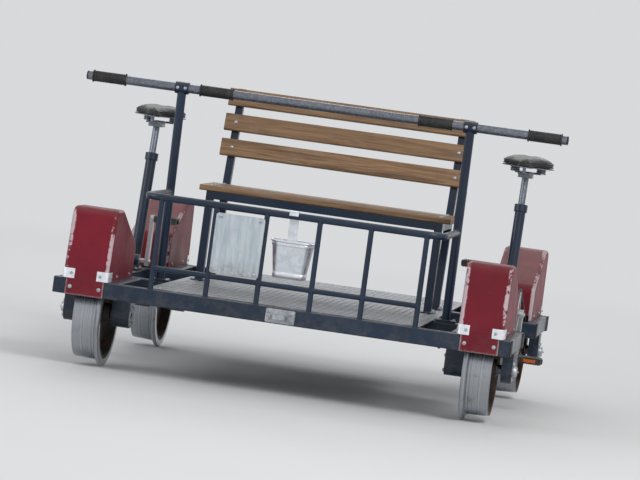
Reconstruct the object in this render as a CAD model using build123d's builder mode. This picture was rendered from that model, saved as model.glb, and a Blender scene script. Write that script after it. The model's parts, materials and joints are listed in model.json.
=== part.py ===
"""Pedal rail car for standard gauge: a saddle and a pedal drive over each rail, and a bench between them.

Millimetres, +Z up. The front faces -Y, and left is the riders' left, at +X. The origin is on the
ground plane under the middle of the car, where the wheel flanges touch, so the rail head lies
flange_depth above it.
"""
from build123d import *
from math import asin, atan2, cos, hypot, pi, radians, sin
import os

# Track and wheels
gauge = 1435.0
flange_play = 8.5
wheelbase = 1200.0
tread_radius = 180.0
tread_cone = 2.0
tread_width = 86.0
flange_depth = 25.0
flange_width = 22.0
flange_tip_width = 7.0
flange_tip_inset = 7.0
flange_shoulder = 9.0
rim_thickness = 15.0
web_thickness = 12.0
web_inset = 38.0
web_hole_radius = 24.0
web_hole_count = 6
hub_radius = 36.0
hub_overhang = 4.0
axle_radius = 12.5
axle_collar_radius = 19.0
axle_collar_gap = 2.0
axle_end_inset = 5.0
running_fit = 0.05

# Chassis beams
beam_width = 60.0
beam_height = 60.0
beam_corner = 6.0
beam_bottom = 275.0
end_beam_gap = 15.0
front_middle_gap = 25.0
rear_middle_gap = 65.0
fork_gap = 12.0
inner_fork_width = 50.0
outer_fork_width = 40.0
outer_fork_gap = 25.0
inner_block_width = 70.0
block_radius = 48.0
side_rail_width = 50.0
side_rail_offset = 7.0
stringer_width = 40.0
stringer_place = 470.0

# Floor and towing eyes
floor_thickness = 4.0
floor_half_width = 515.0
floor_corner = 8.0
floor_lap = 28.0
deck_joint = 1.0
tow_eye_reach = 70.0
tow_eye_thickness = 16.0
tow_eye_hole = 15.0
tow_eye_radius = 32.0
tow_plate_width = 110.0
tow_plate_margin = 4.0
tow_plate_thickness = 8.0

# Pedal drive
crank_place = -60.0
crank_height = 385.0
crank_length = 170.0
crank_arm_spread = 153.0
crank_arm_thickness = 14.0
crank_boss_radius = 20.0
crank_eye_radius = 13.0
spindle_radius = 8.5
shell_radius = 22.0
shell_length = 90.0
bracket_width = 36.0
bracket_foot = 70.0
pedal_pin_radius = 6.0
pedal_width = 88.0
pedal_length = 90.0
pedal_thickness = 24.0
pedal_gap = 6.0
pedal_barrel_radius = 13.0
pedal_tread_length = 16.0
pedal_end_thickness = 6.0

# Chain drive
chain_pitch = 12.7
chainring_teeth = 48
sprocket_teeth = 24
sprocket_offset = 6.5
chain_width = 8.0
link_height = 9.0
link_waist = 6.4
ring_thickness = 2.6
ring_side_gap = 0.3
tooth_root_depth = 4.0
tooth_rise = 3.5
tooth_root_width = 8.0
tooth_sink = 1.0
tooth_tip_width = 3.0
slot_spare = 2.5
ring_band = 20.0
spider_arm_width = 16.0
spider_arm_count = 5
sprocket_hub_radius = 28.0

# Handlebar, posts and front railing
bar_length = 1860.0
bar_radius = 17.0
bar_chamfer = 3.0
bar_height = 1085.0
bar_place = -400.0
grip_length = 130.0
grip_radius = 20.0
grip_places = (425.0, 845.0)
post_place = 560.0
post_radius = 17.0
post_plate_width = 76.0
post_plate_margin = 2.0
plate_thickness = 8.0
plate_corner = 6.0
sleeve_length = 52.0
sleeve_wall = 6.0
rail_height = 680.0
rail_radius = 13.5
rail_inset = 6.0
rail_bend = 60.0
lower_rail_height = 415.0
lower_rail_radius = 10.0
rail_post_places = (100.0, 292.0, 500.0)

# Number board and tub on the railing
board_width = 185.0
board_height = 225.0
board_thickness = 3.0
board_corner = 10.0
board_place = -195.0
board_bottom = 430.0
board_hole_spread = 150.0
board_hole_rise = 200.0
board_hole_radius = 3.2
seat_gap = 0.3
tub_top_width = 155.0
tub_top_depth = 116.0
tub_bottom = 442.0
tub_height = 142.0
tub_taper = 8.0
tub_corner = 34.0
tub_wall = 2.0
tub_rim = 6.0
tub_hook_width = 34.0
tub_hook_thickness = 4.0

# Bench
bench_half_width = 500.0
bench_side_place = 455.0
bench_tube = 30.0
bench_front = -60.0
bench_depth = 390.0
bench_height = 693.0
bench_leg_splay = 60.0
bench_foot_length = 90.0
bench_foot_width = 60.0
bench_foot_thickness = 5.0
slat_thickness = 22.0
slat_width = 62.0
slat_corner = 6.0
slat_end_gap = 4.0
seat_slat_count = 5
back_slat_width = 70.0
back_slat_gap = 34.0
back_slat_count = 3
back_top_margin = 40.0
back_lean = 14.0
back_rise = 430.0

# Saddles on their masts
saddle_place = 200.0
saddle_top = 1000.0
saddle_thickness = 50.0
saddle_width = 240.0
saddle_length = 270.0
saddle_nose_radius = 26.0
saddle_nose_reach = 165.0
saddle_lobe_radius = 62.0
saddle_edge = 16.0
saddle_rail_radius = 4.0
saddle_rail_spread = 42.0
saddle_rail_sink = 1.0
saddle_spring_radius = 16.0
saddle_spring_spread = 104.0
saddle_spring_height = 26.0
saddle_end_inset = 38.0
saddle_riser_radius = 7.0
saddle_clamp_width = 56.0
saddle_clamp_length = 80.0
saddle_clamp_thickness = 16.0
mast_radius = 21.0
mast_top = 800.0
mast_foot_place = 90.0
mast_foot_length = 110.0
mast_collar_wall = 5.0
mast_collar_length = 28.0
seat_post_radius = 13.5
seat_post_depth = 110.0

# Wheel guards
guard_half_width = 86.0
guard_top = 605.0
guard_wall = 3.0
guard_lip = 20.0
guard_rake = 32.0
guard_crown = 140.0
guard_edge = 14.0
guard_bend = 40.0
guard_tail_height = 470.0
guard_tail_gap = 10.0
chain_notch_width = 24.0
chain_notch_height = 22.0

# Hand brake on the rear wheels
brake_shaft_radius = 11.0
brake_shaft_gap = 12.0
brake_shaft_height = 250.0
brake_shaft_half_length = 785.0
brake_boss_wall = 7.0
brake_arm_width = 14.0
shoe_gap = 5.0
shoe_thickness = 16.0
shoe_height = 64.0
shoe_side_gap = 6.0
brake_bracket_places = (330.0, 590.0)
brake_bracket_thickness = 8.0
lever_place = 535.0
lever_pivot_place = -200.0
lever_pivot_height = 305.0
lever_lean = 9.0
lever_length = 480.0
lever_tail = 72.0
lever_width = 26.0
lever_thickness = 10.0
lever_pin_radius = 8.0
lever_grip_radius = 16.0
lever_grip_length = 110.0
brake_crank_length = 48.0
brake_rod_radius = 6.0

# Worked out from the values above
wheel_radius = tread_radius + flange_depth
axle_height = wheel_radius
half_base = wheelbase / 2
tread_start = gauge / 2 - flange_play
tread_end = tread_start + tread_width
flange_face = tread_start - flange_width
beam_top = beam_bottom + beam_height
beam_middle = beam_bottom + beam_height / 2
end_beam_place = half_base + wheel_radius + end_beam_gap + beam_width / 2
end_beam_face = end_beam_place + beam_width / 2
front_middle_place = -(half_base - wheel_radius - front_middle_gap - beam_width / 2)
rear_middle_place = half_base - wheel_radius - rear_middle_gap - beam_width / 2
inner_fork_face = flange_face - fork_gap
inner_fork_place = inner_fork_face - inner_fork_width / 2
outer_fork_face = tread_end + outer_fork_gap
outer_fork_place = outer_fork_face + outer_fork_width / 2
frame_half_width = outer_fork_face + outer_fork_width
inner_block_end = inner_fork_face - inner_block_width
unit_place = (tread_start + tread_end) / 2 - side_rail_offset
floor_top = beam_top + floor_thickness
rim_inside = tread_radius - rim_thickness
hub_end = tread_end + hub_overhang
chain_plane = hub_end + sprocket_offset
chainring_radius = chainring_teeth * chain_pitch / (2 * pi)
sprocket_radius = sprocket_teeth * chain_pitch / (2 * pi)
chain_slot = ring_thickness + 2 * ring_side_gap
sides = {"left": 1, "right": -1}
ends = {"front": -1, "rear": 1}

os.makedirs("parts", exist_ok=True)

# Cross beams, the full width of the car
cross_beam_places = (-end_beam_place, front_middle_place, rear_middle_place, end_beam_place)
with BuildPart() as cross_beams:
    with BuildSketch(Plane.YZ.offset(-frame_half_width)):
        for place in cross_beam_places:
            with Locations((place, beam_middle)):
                RectangleRounded(beam_width, beam_height, beam_corner)
    extrude(amount=2 * frame_half_width)
cross_beams.part.label = "cross_beams"
export_step(cross_beams.part, "parts/cross_beams.step")

# The three bays between the cross beams, from front to rear
bays = {
    "front": (-end_beam_place + beam_width / 2, front_middle_place - beam_width / 2),
    "middle": (front_middle_place + beam_width / 2, rear_middle_place - beam_width / 2),
    "rear": (rear_middle_place + beam_width / 2, end_beam_place - beam_width / 2),
}

# Wheel forks: an inner and an outer beam beside each wheel, with the bearing blocks under them
bearing_blocks = (  # inner face, outer face
    (inner_block_end, inner_fork_face),
    (outer_fork_face, frame_half_width),
)
for end, end_sign in ends.items():
    bay_start, bay_end = bays[end]
    axle_place = end_sign * half_base
    for side, sign in sides.items():
        with BuildPart() as fork:
            with BuildSketch(Plane.XZ.offset(-bay_end)):
                with Locations((sign * inner_fork_place, beam_middle)):
                    RectangleRounded(inner_fork_width, beam_height, beam_corner)
                with Locations((sign * outer_fork_place, beam_middle)):
                    RectangleRounded(outer_fork_width, beam_height, beam_corner)
            extrude(amount=bay_end - bay_start)
            for near_face, far_face in bearing_blocks:
                block_side = Plane.YZ.offset(min(sign * near_face, sign * far_face))
                with BuildSketch(block_side):
                    with Locations((axle_place, axle_height)):
                        Circle(block_radius)
                    with Locations((axle_place, (axle_height + beam_bottom) / 2)):
                        Rectangle(2 * block_radius, beam_bottom - axle_height)
                extrude(amount=far_face - near_face)
                with BuildSketch(block_side):
                    with Locations((axle_place, axle_height)):
                        Circle(axle_radius + running_fit)
                extrude(amount=far_face - near_face, mode=Mode.SUBTRACT)
        name = f"wheel_fork_{end}_{side}"
        fork.part.label = name
        export_step(fork.part, f"parts/{name}.step")

# Side rails in line with the wheels, each with the bracket and shell that carry its crank
bay_start, bay_end = bays["middle"]
with BuildPart() as side_rails:
    for sign in sides.values():
        with BuildSketch(Plane.XZ.offset(-bay_end)):
            with Locations((sign * unit_place, beam_middle)):
                RectangleRounded(side_rail_width, beam_height, beam_corner)
        extrude(amount=bay_end - bay_start)
        with BuildSketch(Plane.YZ.offset(sign * unit_place - bracket_width / 2)):
            with BuildLine():
                Polyline(
                    (crank_place - bracket_foot, beam_top - beam_corner),
                    (crank_place + bracket_foot, beam_top - beam_corner),
                    (crank_place + shell_radius, crank_height),
                    (crank_place - shell_radius, crank_height),
                    close=True,
                )
            make_face()
        extrude(amount=bracket_width)
        shell_side = Plane.YZ.offset(sign * unit_place - shell_length / 2)
        with BuildSketch(shell_side):
            with Locations((crank_place, crank_height)):
                Circle(shell_radius)
        extrude(amount=shell_length)
        with BuildSketch(shell_side):
            with Locations((crank_place, crank_height)):
                Circle(spindle_radius + running_fit)
        extrude(amount=shell_length, mode=Mode.SUBTRACT)
side_rails.part.label = "side_rails"
export_step(side_rails.part, "parts/side_rails.step")

# Floor stringers between the cross beams
with BuildPart() as stringers:
    for bay_start, bay_end in bays.values():
        with BuildSketch(Plane.XZ.offset(-bay_end)):
            for sign in sides.values():
                with Locations((sign * stringer_place, beam_middle)):
                    RectangleRounded(stringer_width, beam_height, beam_corner)
        extrude(amount=bay_end - bay_start)
stringers.part.label = "floor_stringers"
export_step(stringers.part, "parts/floor_stringers.step")

# Floor plate under feet and bench, and the luggage deck behind it
floors = (  # name, front edge, rear edge
    ("floor_plate", -end_beam_place + beam_width / 2 - floor_lap, rear_middle_place),
    ("luggage_deck", rear_middle_place + deck_joint, end_beam_face),
)
for name, front_edge, rear_edge in floors:
    with BuildPart() as floor:
        with BuildSketch(Plane.XY.offset(beam_top)):
            with Locations((0, (front_edge + rear_edge) / 2)):
                RectangleRounded(2 * floor_half_width, rear_edge - front_edge, floor_corner)
        extrude(amount=floor_thickness)
    floor.part.label = name
    export_step(floor.part, f"parts/{name}.step")

# Towing eyes on the outer faces of the end beams
with BuildPart() as tow_eyes:
    for end_sign in ends.values():
        beam_face = end_sign * end_beam_face
        eye_place = beam_face + end_sign * (tow_eye_reach - tow_eye_radius)
        with BuildSketch(Plane.XY.offset(beam_middle - tow_eye_thickness / 2)):
            with Locations((0, eye_place)):
                Circle(tow_eye_radius)
            with Locations((0, (beam_face + eye_place) / 2)):
                Rectangle(2 * tow_eye_radius, abs(eye_place - beam_face))
            with Locations((0, eye_place)):
                Circle(tow_eye_hole, mode=Mode.SUBTRACT)
        extrude(amount=tow_eye_thickness)
        with BuildSketch(Plane.XZ.offset(-beam_face)):
            with Locations((0, beam_middle)):
                RectangleRounded(tow_plate_width, beam_height - 2 * tow_plate_margin, plate_corner)
        extrude(amount=-end_sign * tow_plate_thickness)
tow_eyes.part.label = "tow_eyes"
export_step(tow_eyes.part, "parts/tow_eyes.step")


def toothed_ring(teeth, pitch_radius, band_inside):
    """Face of a chain wheel round the sketch's origin: straight-sided teeth on a band."""
    root = pitch_radius - tooth_root_depth
    tip = pitch_radius + tooth_rise
    with BuildSketch() as ring:
        Circle(root)
        with PolarLocations(0, teeth):
            with BuildLine():
                Polyline(
                    (root - tooth_sink, -tooth_root_width / 2),
                    (tip, -tooth_tip_width / 2),
                    (tip, tooth_tip_width / 2),
                    (root - tooth_sink, tooth_root_width / 2),
                    close=True,
                )
            make_face()
        if band_inside:
            Circle(band_inside, mode=Mode.SUBTRACT)
    return ring.sketch


# Flanged wheels and their axles; the rear wheels carry the driven sprocket on their outer side
web_start = flange_face + web_inset
web_end = web_start + web_thickness
hub_start = flange_face - hub_overhang
flange_shoulder_radius = wheel_radius - flange_shoulder
for end, end_sign in ends.items():
    axle_place = end_sign * half_base
    for side, sign in sides.items():
        axle_point = (0, axle_place, axle_height)
        wheel_section = Plane(origin=axle_point, x_dir=(sign, 0, 0), z_dir=(0, -sign, 0))
        with BuildPart() as wheel:
            with BuildSketch(wheel_section):
                with BuildLine():
                    Polyline(
                        (hub_start, axle_radius + running_fit),
                        (hub_start, hub_radius),
                        (web_start, hub_radius),
                        (web_start, rim_inside),
                        (flange_face, rim_inside),
                        (flange_face, wheel_radius - flange_tip_inset),
                        (flange_face + flange_tip_width / 2, wheel_radius),
                        (flange_face + flange_tip_width / 2 + flange_tip_width, wheel_radius),
                        (tread_start - flange_shoulder / 2, flange_shoulder_radius),
                        (tread_start, tread_radius + tread_cone),
                        (tread_end, tread_radius - tread_cone),
                        (tread_end, rim_inside),
                        (web_end, rim_inside),
                        (web_end, hub_radius),
                        (hub_end, hub_radius),
                        (hub_end, axle_radius + running_fit),
                        close=True,
                    )
                make_face()
            revolve(axis=Axis(axle_point, (1, 0, 0)))
            with BuildSketch(Plane.YZ.offset(sign * web_start)):
                with Locations((axle_place, axle_height)):
                    with PolarLocations((hub_radius + rim_inside) / 2, web_hole_count):
                        Circle(web_hole_radius)
            extrude(amount=sign * web_thickness, mode=Mode.SUBTRACT)
            if end == "rear":
                ring_side = Plane(
                    origin=(sign * (chain_plane - ring_thickness / 2), axle_place, axle_height),
                    x_dir=(0, 1, 0),
                    z_dir=(1, 0, 0),
                )
                with BuildSketch(ring_side):
                    add(toothed_ring(sprocket_teeth, sprocket_radius, axle_radius + running_fit))
                extrude(amount=sign * ring_thickness)
                with BuildSketch(Plane.YZ.offset(sign * hub_end)):
                    with Locations((axle_place, axle_height)):
                        Circle(sprocket_hub_radius)
                        Circle(axle_radius + running_fit, mode=Mode.SUBTRACT)
                extrude(amount=sign * (chain_plane - hub_end))
        name = f"wheel_{end}_{side}"
        wheel.part.label = name
        export_step(wheel.part, f"parts/{name}.step")

        outer_collar_start = chain_plane + ring_thickness / 2 if end == "rear" else hub_end
        collars = (  # inner face, outer face
            (inner_fork_face + axle_collar_gap, hub_start),
            (outer_collar_start, outer_fork_face - axle_collar_gap),
        )
        with BuildPart() as axle:
            with BuildSketch(wheel_section):
                axle_start = inner_block_end + axle_end_inset
                axle_end = frame_half_width - axle_end_inset
                with Locations(((axle_start + axle_end) / 2, axle_radius / 2)):
                    Rectangle(axle_end - axle_start, axle_radius)
                for near_face, far_face in collars:
                    with Locations(((near_face + far_face) / 2, axle_collar_radius / 2)):
                        Rectangle(far_face - near_face, axle_collar_radius)
            revolve(axis=Axis(axle_point, (1, 0, 0)))
        name = f"axle_{end}_{side}"
        axle.part.label = name
        export_step(axle.part, f"parts/{name}.step")

# Cranks: spindle, two arms with their pedal pins, and the chainring on its spider
arm_centre = crank_arm_spread / 2
arms = (  # name, inboard or outboard of the side rail, up or down
    ("inner", -1, 1),
    ("outer", 1, -1),
)
for side, sign in sides.items():
    with BuildPart() as crank:
        with BuildSketch(Plane.YZ.offset(sign * unit_place - arm_centre)):
            with Locations((crank_place, crank_height)):
                Circle(spindle_radius)
        extrude(amount=2 * arm_centre)
        for place, way, rise in arms:
            arm_middle = unit_place + way * arm_centre
            pin_height = crank_height + rise * crank_length
            with BuildSketch(Plane.YZ.offset(sign * arm_middle - crank_arm_thickness / 2)):
                with Locations((crank_place, crank_height)):
                    Circle(crank_boss_radius)
                with Locations((crank_place, pin_height)):
                    Circle(crank_eye_radius)
                make_hull()
            extrude(amount=crank_arm_thickness)
            pin_start = arm_middle + way * crank_arm_thickness / 2
            with BuildSketch(Plane.YZ.offset(sign * pin_start)):
                with Locations((crank_place, pin_height)):
                    Circle(pedal_pin_radius)
            extrude(amount=sign * way * (pedal_gap + pedal_width - pedal_end_thickness / 2))
        ring_side = Plane(
            origin=(sign * (chain_plane - ring_thickness / 2), crank_place, crank_height),
            x_dir=(0, 1, 0),
            z_dir=(1, 0, 0),
        )
        with BuildSketch(ring_side):
            add(toothed_ring(chainring_teeth, chainring_radius, chainring_radius - ring_band))
            Circle(crank_boss_radius + ring_thickness)
            with PolarLocations(chainring_radius / 2, spider_arm_count):
                Rectangle(chainring_radius - ring_band / 2, spider_arm_width)
        extrude(amount=sign * ring_thickness)
    name = f"crank_set_{side}"
    crank.part.label = name
    export_step(crank.part, f"parts/{name}.step")

    for place, way, rise in arms:
        pin_height = crank_height + rise * crank_length
        pedal_start = unit_place + way * (arm_centre + crank_arm_thickness / 2 + pedal_gap)
        pedal_side = Plane.YZ.offset(sign * pedal_start)
        end_plates = (0, pedal_width - pedal_end_thickness)
        with BuildPart() as pedal:
            with BuildSketch(pedal_side):
                with Locations((crank_place, pin_height)):
                    Circle(pedal_barrel_radius)
                    with GridLocations(pedal_length - pedal_tread_length, 1, 2, 1):
                        Rectangle(pedal_tread_length, pedal_thickness)
            extrude(amount=sign * way * pedal_width)
            for plate_start in end_plates:
                with BuildSketch(pedal_side.offset(sign * way * plate_start)):
                    with Locations((crank_place, pin_height)):
                        Rectangle(pedal_length - pedal_tread_length, pedal_thickness)
                extrude(amount=sign * way * pedal_end_thickness)
            with BuildSketch(pedal_side):
                with Locations((crank_place, pin_height)):
                    Circle(pedal_pin_radius + running_fit)
            extrude(amount=sign * way * pedal_width, mode=Mode.SUBTRACT)
        name = f"pedal_{place}_{side}"
        pedal.part.label = name
        export_step(pedal.part, f"parts/{name}.step")

# Chains. The pitch line runs over the chainring, along the upper run, round the sprocket and back.
drive_reach = half_base - crank_place
drive_drop = crank_height - axle_height
drive_span = hypot(drive_reach, drive_drop)
run_tilt = atan2(-drive_drop, drive_reach)
wrap_spread = asin((chainring_radius - sprocket_radius) / drive_span)
run_length = drive_span * cos(wrap_spread)
ring_wrap = pi + 2 * wrap_spread
sprocket_wrap = pi - 2 * wrap_spread
loop_length = 2 * run_length + chainring_radius * ring_wrap + sprocket_radius * sprocket_wrap
link_count = 2 * round(loop_length / chain_pitch / 2)


def chain_point(distance, height):
    """Point of the loop at a distance along the pitch line, and a height outside that line."""
    upper = run_tilt + pi / 2 - wrap_spread
    lower = run_tilt - pi / 2 + wrap_spread
    distance = distance % loop_length
    if distance < run_length:
        centre, angle, radius, along = (crank_place, crank_height), upper, chainring_radius, distance
    elif distance < run_length + sprocket_radius * sprocket_wrap:
        turned = (distance - run_length) / sprocket_radius
        centre, angle, radius, along = (half_base, axle_height), upper - turned, sprocket_radius, 0
    elif distance < 2 * run_length + sprocket_radius * sprocket_wrap:
        along = distance - run_length - sprocket_radius * sprocket_wrap
        centre, angle, radius = (half_base, axle_height), lower, sprocket_radius
    else:
        turned = (distance - 2 * run_length - sprocket_radius * sprocket_wrap) / chainring_radius
        centre, angle, radius, along = (crank_place, crank_height), lower - turned, chainring_radius, 0
    reach = radius + height
    y = centre[0] + reach * cos(angle) + along * sin(angle)
    z = centre[1] + reach * sin(angle) - along * cos(angle)
    return (y, z)


link_step = loop_length / link_count
run_starts = (0, run_length + sprocket_radius * sprocket_wrap)
outer_edge = []
inner_edge = []
for index in range(link_count):
    pin = index * link_step
    waist = pin + link_step / 2
    outer_edge.append(chain_point(pin, link_height / 2))
    outer_edge.append(chain_point(waist, link_waist / 2))
    inner_edge.append(chain_point(pin, -link_height / 2))
    # On the toothed wheels the plates' inner edges are hidden, and run straight from pin to pin.
    if any(start < waist < start + run_length for start in run_starts):
        inner_edge.append(chain_point(waist, -link_waist / 2))
wheels_in_chain = (  # place, height, pitch radius
    (crank_place, crank_height, chainring_radius),
    (half_base, axle_height, sprocket_radius),
)
with BuildPart() as chains:
    for sign in sides.values():
        with BuildSketch(Plane.YZ.offset(sign * chain_plane - chain_width / 2)):
            for edge, mode in ((outer_edge, Mode.ADD), (inner_edge, Mode.SUBTRACT)):
                with BuildLine():
                    Polyline(*edge, close=True)
                make_face(mode=mode)
        extrude(amount=chain_width)
        with BuildSketch(Plane.YZ.offset(sign * chain_plane - chain_slot / 2)):
            for place, height, pitch_radius in wheels_in_chain:
                with Locations((place, height)):
                    Circle(pitch_radius + tooth_rise + slot_spare)
        extrude(amount=chain_slot, mode=Mode.SUBTRACT)
chains.part.label = "chains"
export_step(chains.part, "parts/chains.step")

# Saddle masts on the side rails, seat posts in them, and saddles
mast_lean = (saddle_place - mast_foot_place) / (saddle_top - beam_top)
mast_up = (0, mast_lean, 1)
saddle_base = saddle_top - saddle_thickness
spring_top = saddle_base - seat_gap
clamp_top = spring_top - saddle_spring_height
clamp_middle = clamp_top - saddle_clamp_thickness / 2
saddle_front = saddle_place - saddle_nose_reach + saddle_end_inset
saddle_rear = saddle_place - saddle_nose_reach + saddle_length - saddle_end_inset


def mast_point(sign, height):
    """Point on the mast's centre line at a height above the ground."""
    return (sign * unit_place, mast_foot_place + mast_lean * (height - beam_top), height)


with BuildPart() as masts:
    for sign in sides.values():
        with BuildSketch(Plane.XY.offset(beam_top)):
            with Locations((sign * unit_place, mast_foot_place)):
                RectangleRounded(side_rail_width, mast_foot_length, plate_corner)
        extrude(amount=plate_thickness)
        mast_length = (mast_top - beam_top - plate_thickness / 2) * hypot(1, mast_lean)
        with BuildSketch(Plane(origin=mast_point(sign, mast_top), z_dir=mast_up)):
            Circle(mast_radius)
        extrude(amount=-mast_length)
        with BuildSketch(Plane(origin=mast_point(sign, mast_top), z_dir=mast_up)):
            Circle(mast_radius + mast_collar_wall)
        extrude(amount=-mast_collar_length)
        with BuildSketch(Plane.XY.offset(beam_top)):
            with Locations((sign * unit_place, mast_foot_place)):
                Rectangle(2 * mast_foot_length, 2 * mast_foot_length)
        extrude(amount=-mast_foot_length, mode=Mode.SUBTRACT)
        with BuildSketch(Plane(origin=mast_point(sign, mast_top), z_dir=mast_up)):
            Circle(seat_post_radius + running_fit)
        extrude(amount=-seat_post_depth - mast_collar_length, mode=Mode.SUBTRACT)
masts.part.label = "saddle_masts"
export_step(masts.part, "parts/saddle_masts.step")

with BuildPart() as seat_posts:
    for sign in sides.values():
        post_length = (clamp_middle - mast_top) * hypot(1, mast_lean) + seat_post_depth
        with BuildSketch(Plane(origin=mast_point(sign, clamp_middle), z_dir=mast_up)):
            Circle(seat_post_radius)
        extrude(amount=-post_length)
        clamp_x, clamp_y, _ = mast_point(sign, clamp_middle)
        with BuildSketch(Plane.XY.offset(clamp_top - saddle_clamp_thickness)):
            with Locations((clamp_x, clamp_y)):
                RectangleRounded(saddle_clamp_width, saddle_clamp_length, plate_corner)
        extrude(amount=saddle_clamp_thickness)
        rail_line = clamp_top + saddle_rail_radius - saddle_rail_sink
        with BuildSketch(Plane.XZ.offset(-saddle_rear)):
            with Locations((clamp_x, rail_line)):
                with GridLocations(saddle_rail_spread, 1, 2, 1):
                    Circle(saddle_rail_radius)
        extrude(amount=saddle_rear - saddle_front)
        cross_rails = (  # place, length
            (saddle_front, saddle_rail_spread),
            (saddle_rear, saddle_spring_spread),
        )
        for place, length in cross_rails:
            with BuildSketch(Plane.YZ.offset(clamp_x - length / 2)):
                with Locations((place, rail_line)):
                    Circle(saddle_rail_radius)
            extrude(amount=length)
        with BuildSketch(Plane.XY.offset(rail_line)):
            with Locations((clamp_x, saddle_front)):
                Circle(saddle_riser_radius)
            with Locations((clamp_x, saddle_rear)):
                with GridLocations(saddle_spring_spread, 1, 2, 1):
                    Circle(saddle_spring_radius)
        extrude(amount=spring_top - rail_line)
seat_posts.part.label = "seat_posts"
export_step(seat_posts.part, "parts/seat_posts.step")

for side, sign in sides.items():
    x = sign * unit_place
    lobe_offset = saddle_width / 2 - saddle_lobe_radius
    lobe_place = saddle_place + saddle_length - saddle_nose_reach - saddle_lobe_radius
    with BuildPart() as saddle:
        with BuildSketch(Plane.XY.offset(saddle_base)):
            with Locations((x, saddle_place - saddle_nose_reach + saddle_nose_radius)):
                Circle(saddle_nose_radius)
            with Locations((x - lobe_offset, lobe_place), (x + lobe_offset, lobe_place)):
                Circle(saddle_lobe_radius)
            make_hull()
        extrude(amount=saddle_thickness)
        chamfer(saddle.faces().sort_by(Axis.Z)[-1].edges(), saddle_edge)
    name = f"saddle_{side}"
    saddle.part.label = name
    export_step(saddle.part, f"parts/{name}.step")

# Handlebar across both riders, its grips and its two posts
with BuildPart() as handlebar:
    with BuildSketch(Plane.YZ.offset(-bar_length / 2)):
        with Locations((bar_place, bar_height)):
            Circle(bar_radius)
    extrude(amount=bar_length)
    chamfer(handlebar.edges().filter_by(GeomType.CIRCLE), bar_chamfer)
handlebar.part.label = "handlebar"
export_step(handlebar.part, "parts/handlebar.step")

with BuildPart() as grips:
    for place in grip_places:
        for sign in sides.values():
            with BuildSketch(Plane.YZ.offset(sign * place - grip_length / 2)):
                with Locations((bar_place, bar_height)):
                    Circle(grip_radius)
                    Circle(bar_radius + running_fit, mode=Mode.SUBTRACT)
            extrude(amount=grip_length)
grips.part.label = "handlebar_grips"
export_step(grips.part, "parts/handlebar_grips.step")

post_rise = Vector(0, bar_place - front_middle_place, bar_height - beam_top)
with BuildPart() as posts:
    for sign in sides.values():
        x = sign * post_place
        with BuildSketch(Plane.XY.offset(beam_top)):
            with Locations((x, front_middle_place)):
                RectangleRounded(post_plate_width, beam_width - 2 * post_plate_margin, plate_corner)
        extrude(amount=plate_thickness)
        with BuildSketch(Plane(origin=(x, bar_place, bar_height), z_dir=-post_rise)):
            Circle(post_radius)
        extrude(amount=post_rise.length * (1 - plate_thickness / 2 / (bar_height - beam_top)))
        with BuildSketch(Plane.XY.offset(beam_top)):
            with Locations((x, front_middle_place)):
                Rectangle(2 * post_plate_width, 2 * post_plate_width)
        extrude(amount=-post_plate_width, mode=Mode.SUBTRACT)
        sleeve_side = Plane.YZ.offset(x - sleeve_length / 2)
        with BuildSketch(sleeve_side):
            with Locations((bar_place, bar_height)):
                Circle(bar_radius + sleeve_wall)
        extrude(amount=sleeve_length)
        with BuildSketch(sleeve_side):
            with Locations((bar_place, bar_height)):
                Circle(bar_radius + running_fit)
        extrude(amount=sleeve_length, mode=Mode.SUBTRACT)
posts.part.label = "handlebar_posts"
export_step(posts.part, "parts/handlebar_posts.step")

# Front railing: a rail bent round to the handlebar posts, a lower rail and upright bars
rail_place = -end_beam_face + rail_radius + rail_inset
rail_end_place = front_middle_place + post_rise.Y * (rail_height - beam_top) / post_rise.Z
bar_line = rail_place - rail_radius + lower_rail_radius
with BuildPart() as railing:
    with BuildLine(Plane.XY.offset(rail_height)) as rail_path:
        FilletPolyline(
            (post_place, rail_end_place),
            (post_place, rail_place),
            (-post_place, rail_place),
            (-post_place, rail_end_place),
            radius=rail_bend,
        )
    with BuildSketch(Plane(origin=(post_place, rail_end_place, rail_height), z_dir=(0, -1, 0))):
        Circle(rail_radius)
    sweep(path=rail_path.wire())
    with BuildSketch(Plane.XY.offset(beam_top)):
        for place in rail_post_places:
            with Locations((-place, bar_line), (place, bar_line)):
                Circle(lower_rail_radius)
    extrude(amount=rail_height - beam_top)
    with BuildSketch(Plane.YZ.offset(-max(rail_post_places))):
        with Locations((bar_line, lower_rail_height)):
            Circle(lower_rail_radius)
    extrude(amount=2 * max(rail_post_places))
    for sign in sides.values():
        with BuildSketch(Plane(origin=(sign * post_place, front_middle_place, beam_top), z_dir=post_rise)):
            Circle(post_radius + running_fit)
        extrude(amount=post_rise.length, mode=Mode.SUBTRACT)
railing.part.label = "front_railing"
export_step(railing.part, "parts/front_railing.step")

# Blank number board across two of the railing's bars
board_back = rail_place - rail_radius - seat_gap
with BuildPart() as board:
    with BuildSketch(Plane.XZ.offset(-board_back)):
        with Locations((board_place, board_bottom + board_height / 2)):
            RectangleRounded(board_width, board_height, board_corner)
            with GridLocations(board_hole_spread, board_hole_rise, 2, 2):
                Circle(board_hole_radius, mode=Mode.SUBTRACT)
    extrude(amount=board_thickness)
board.part.label = "number_board"
export_step(board.part, "parts/number_board.step")

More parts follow.
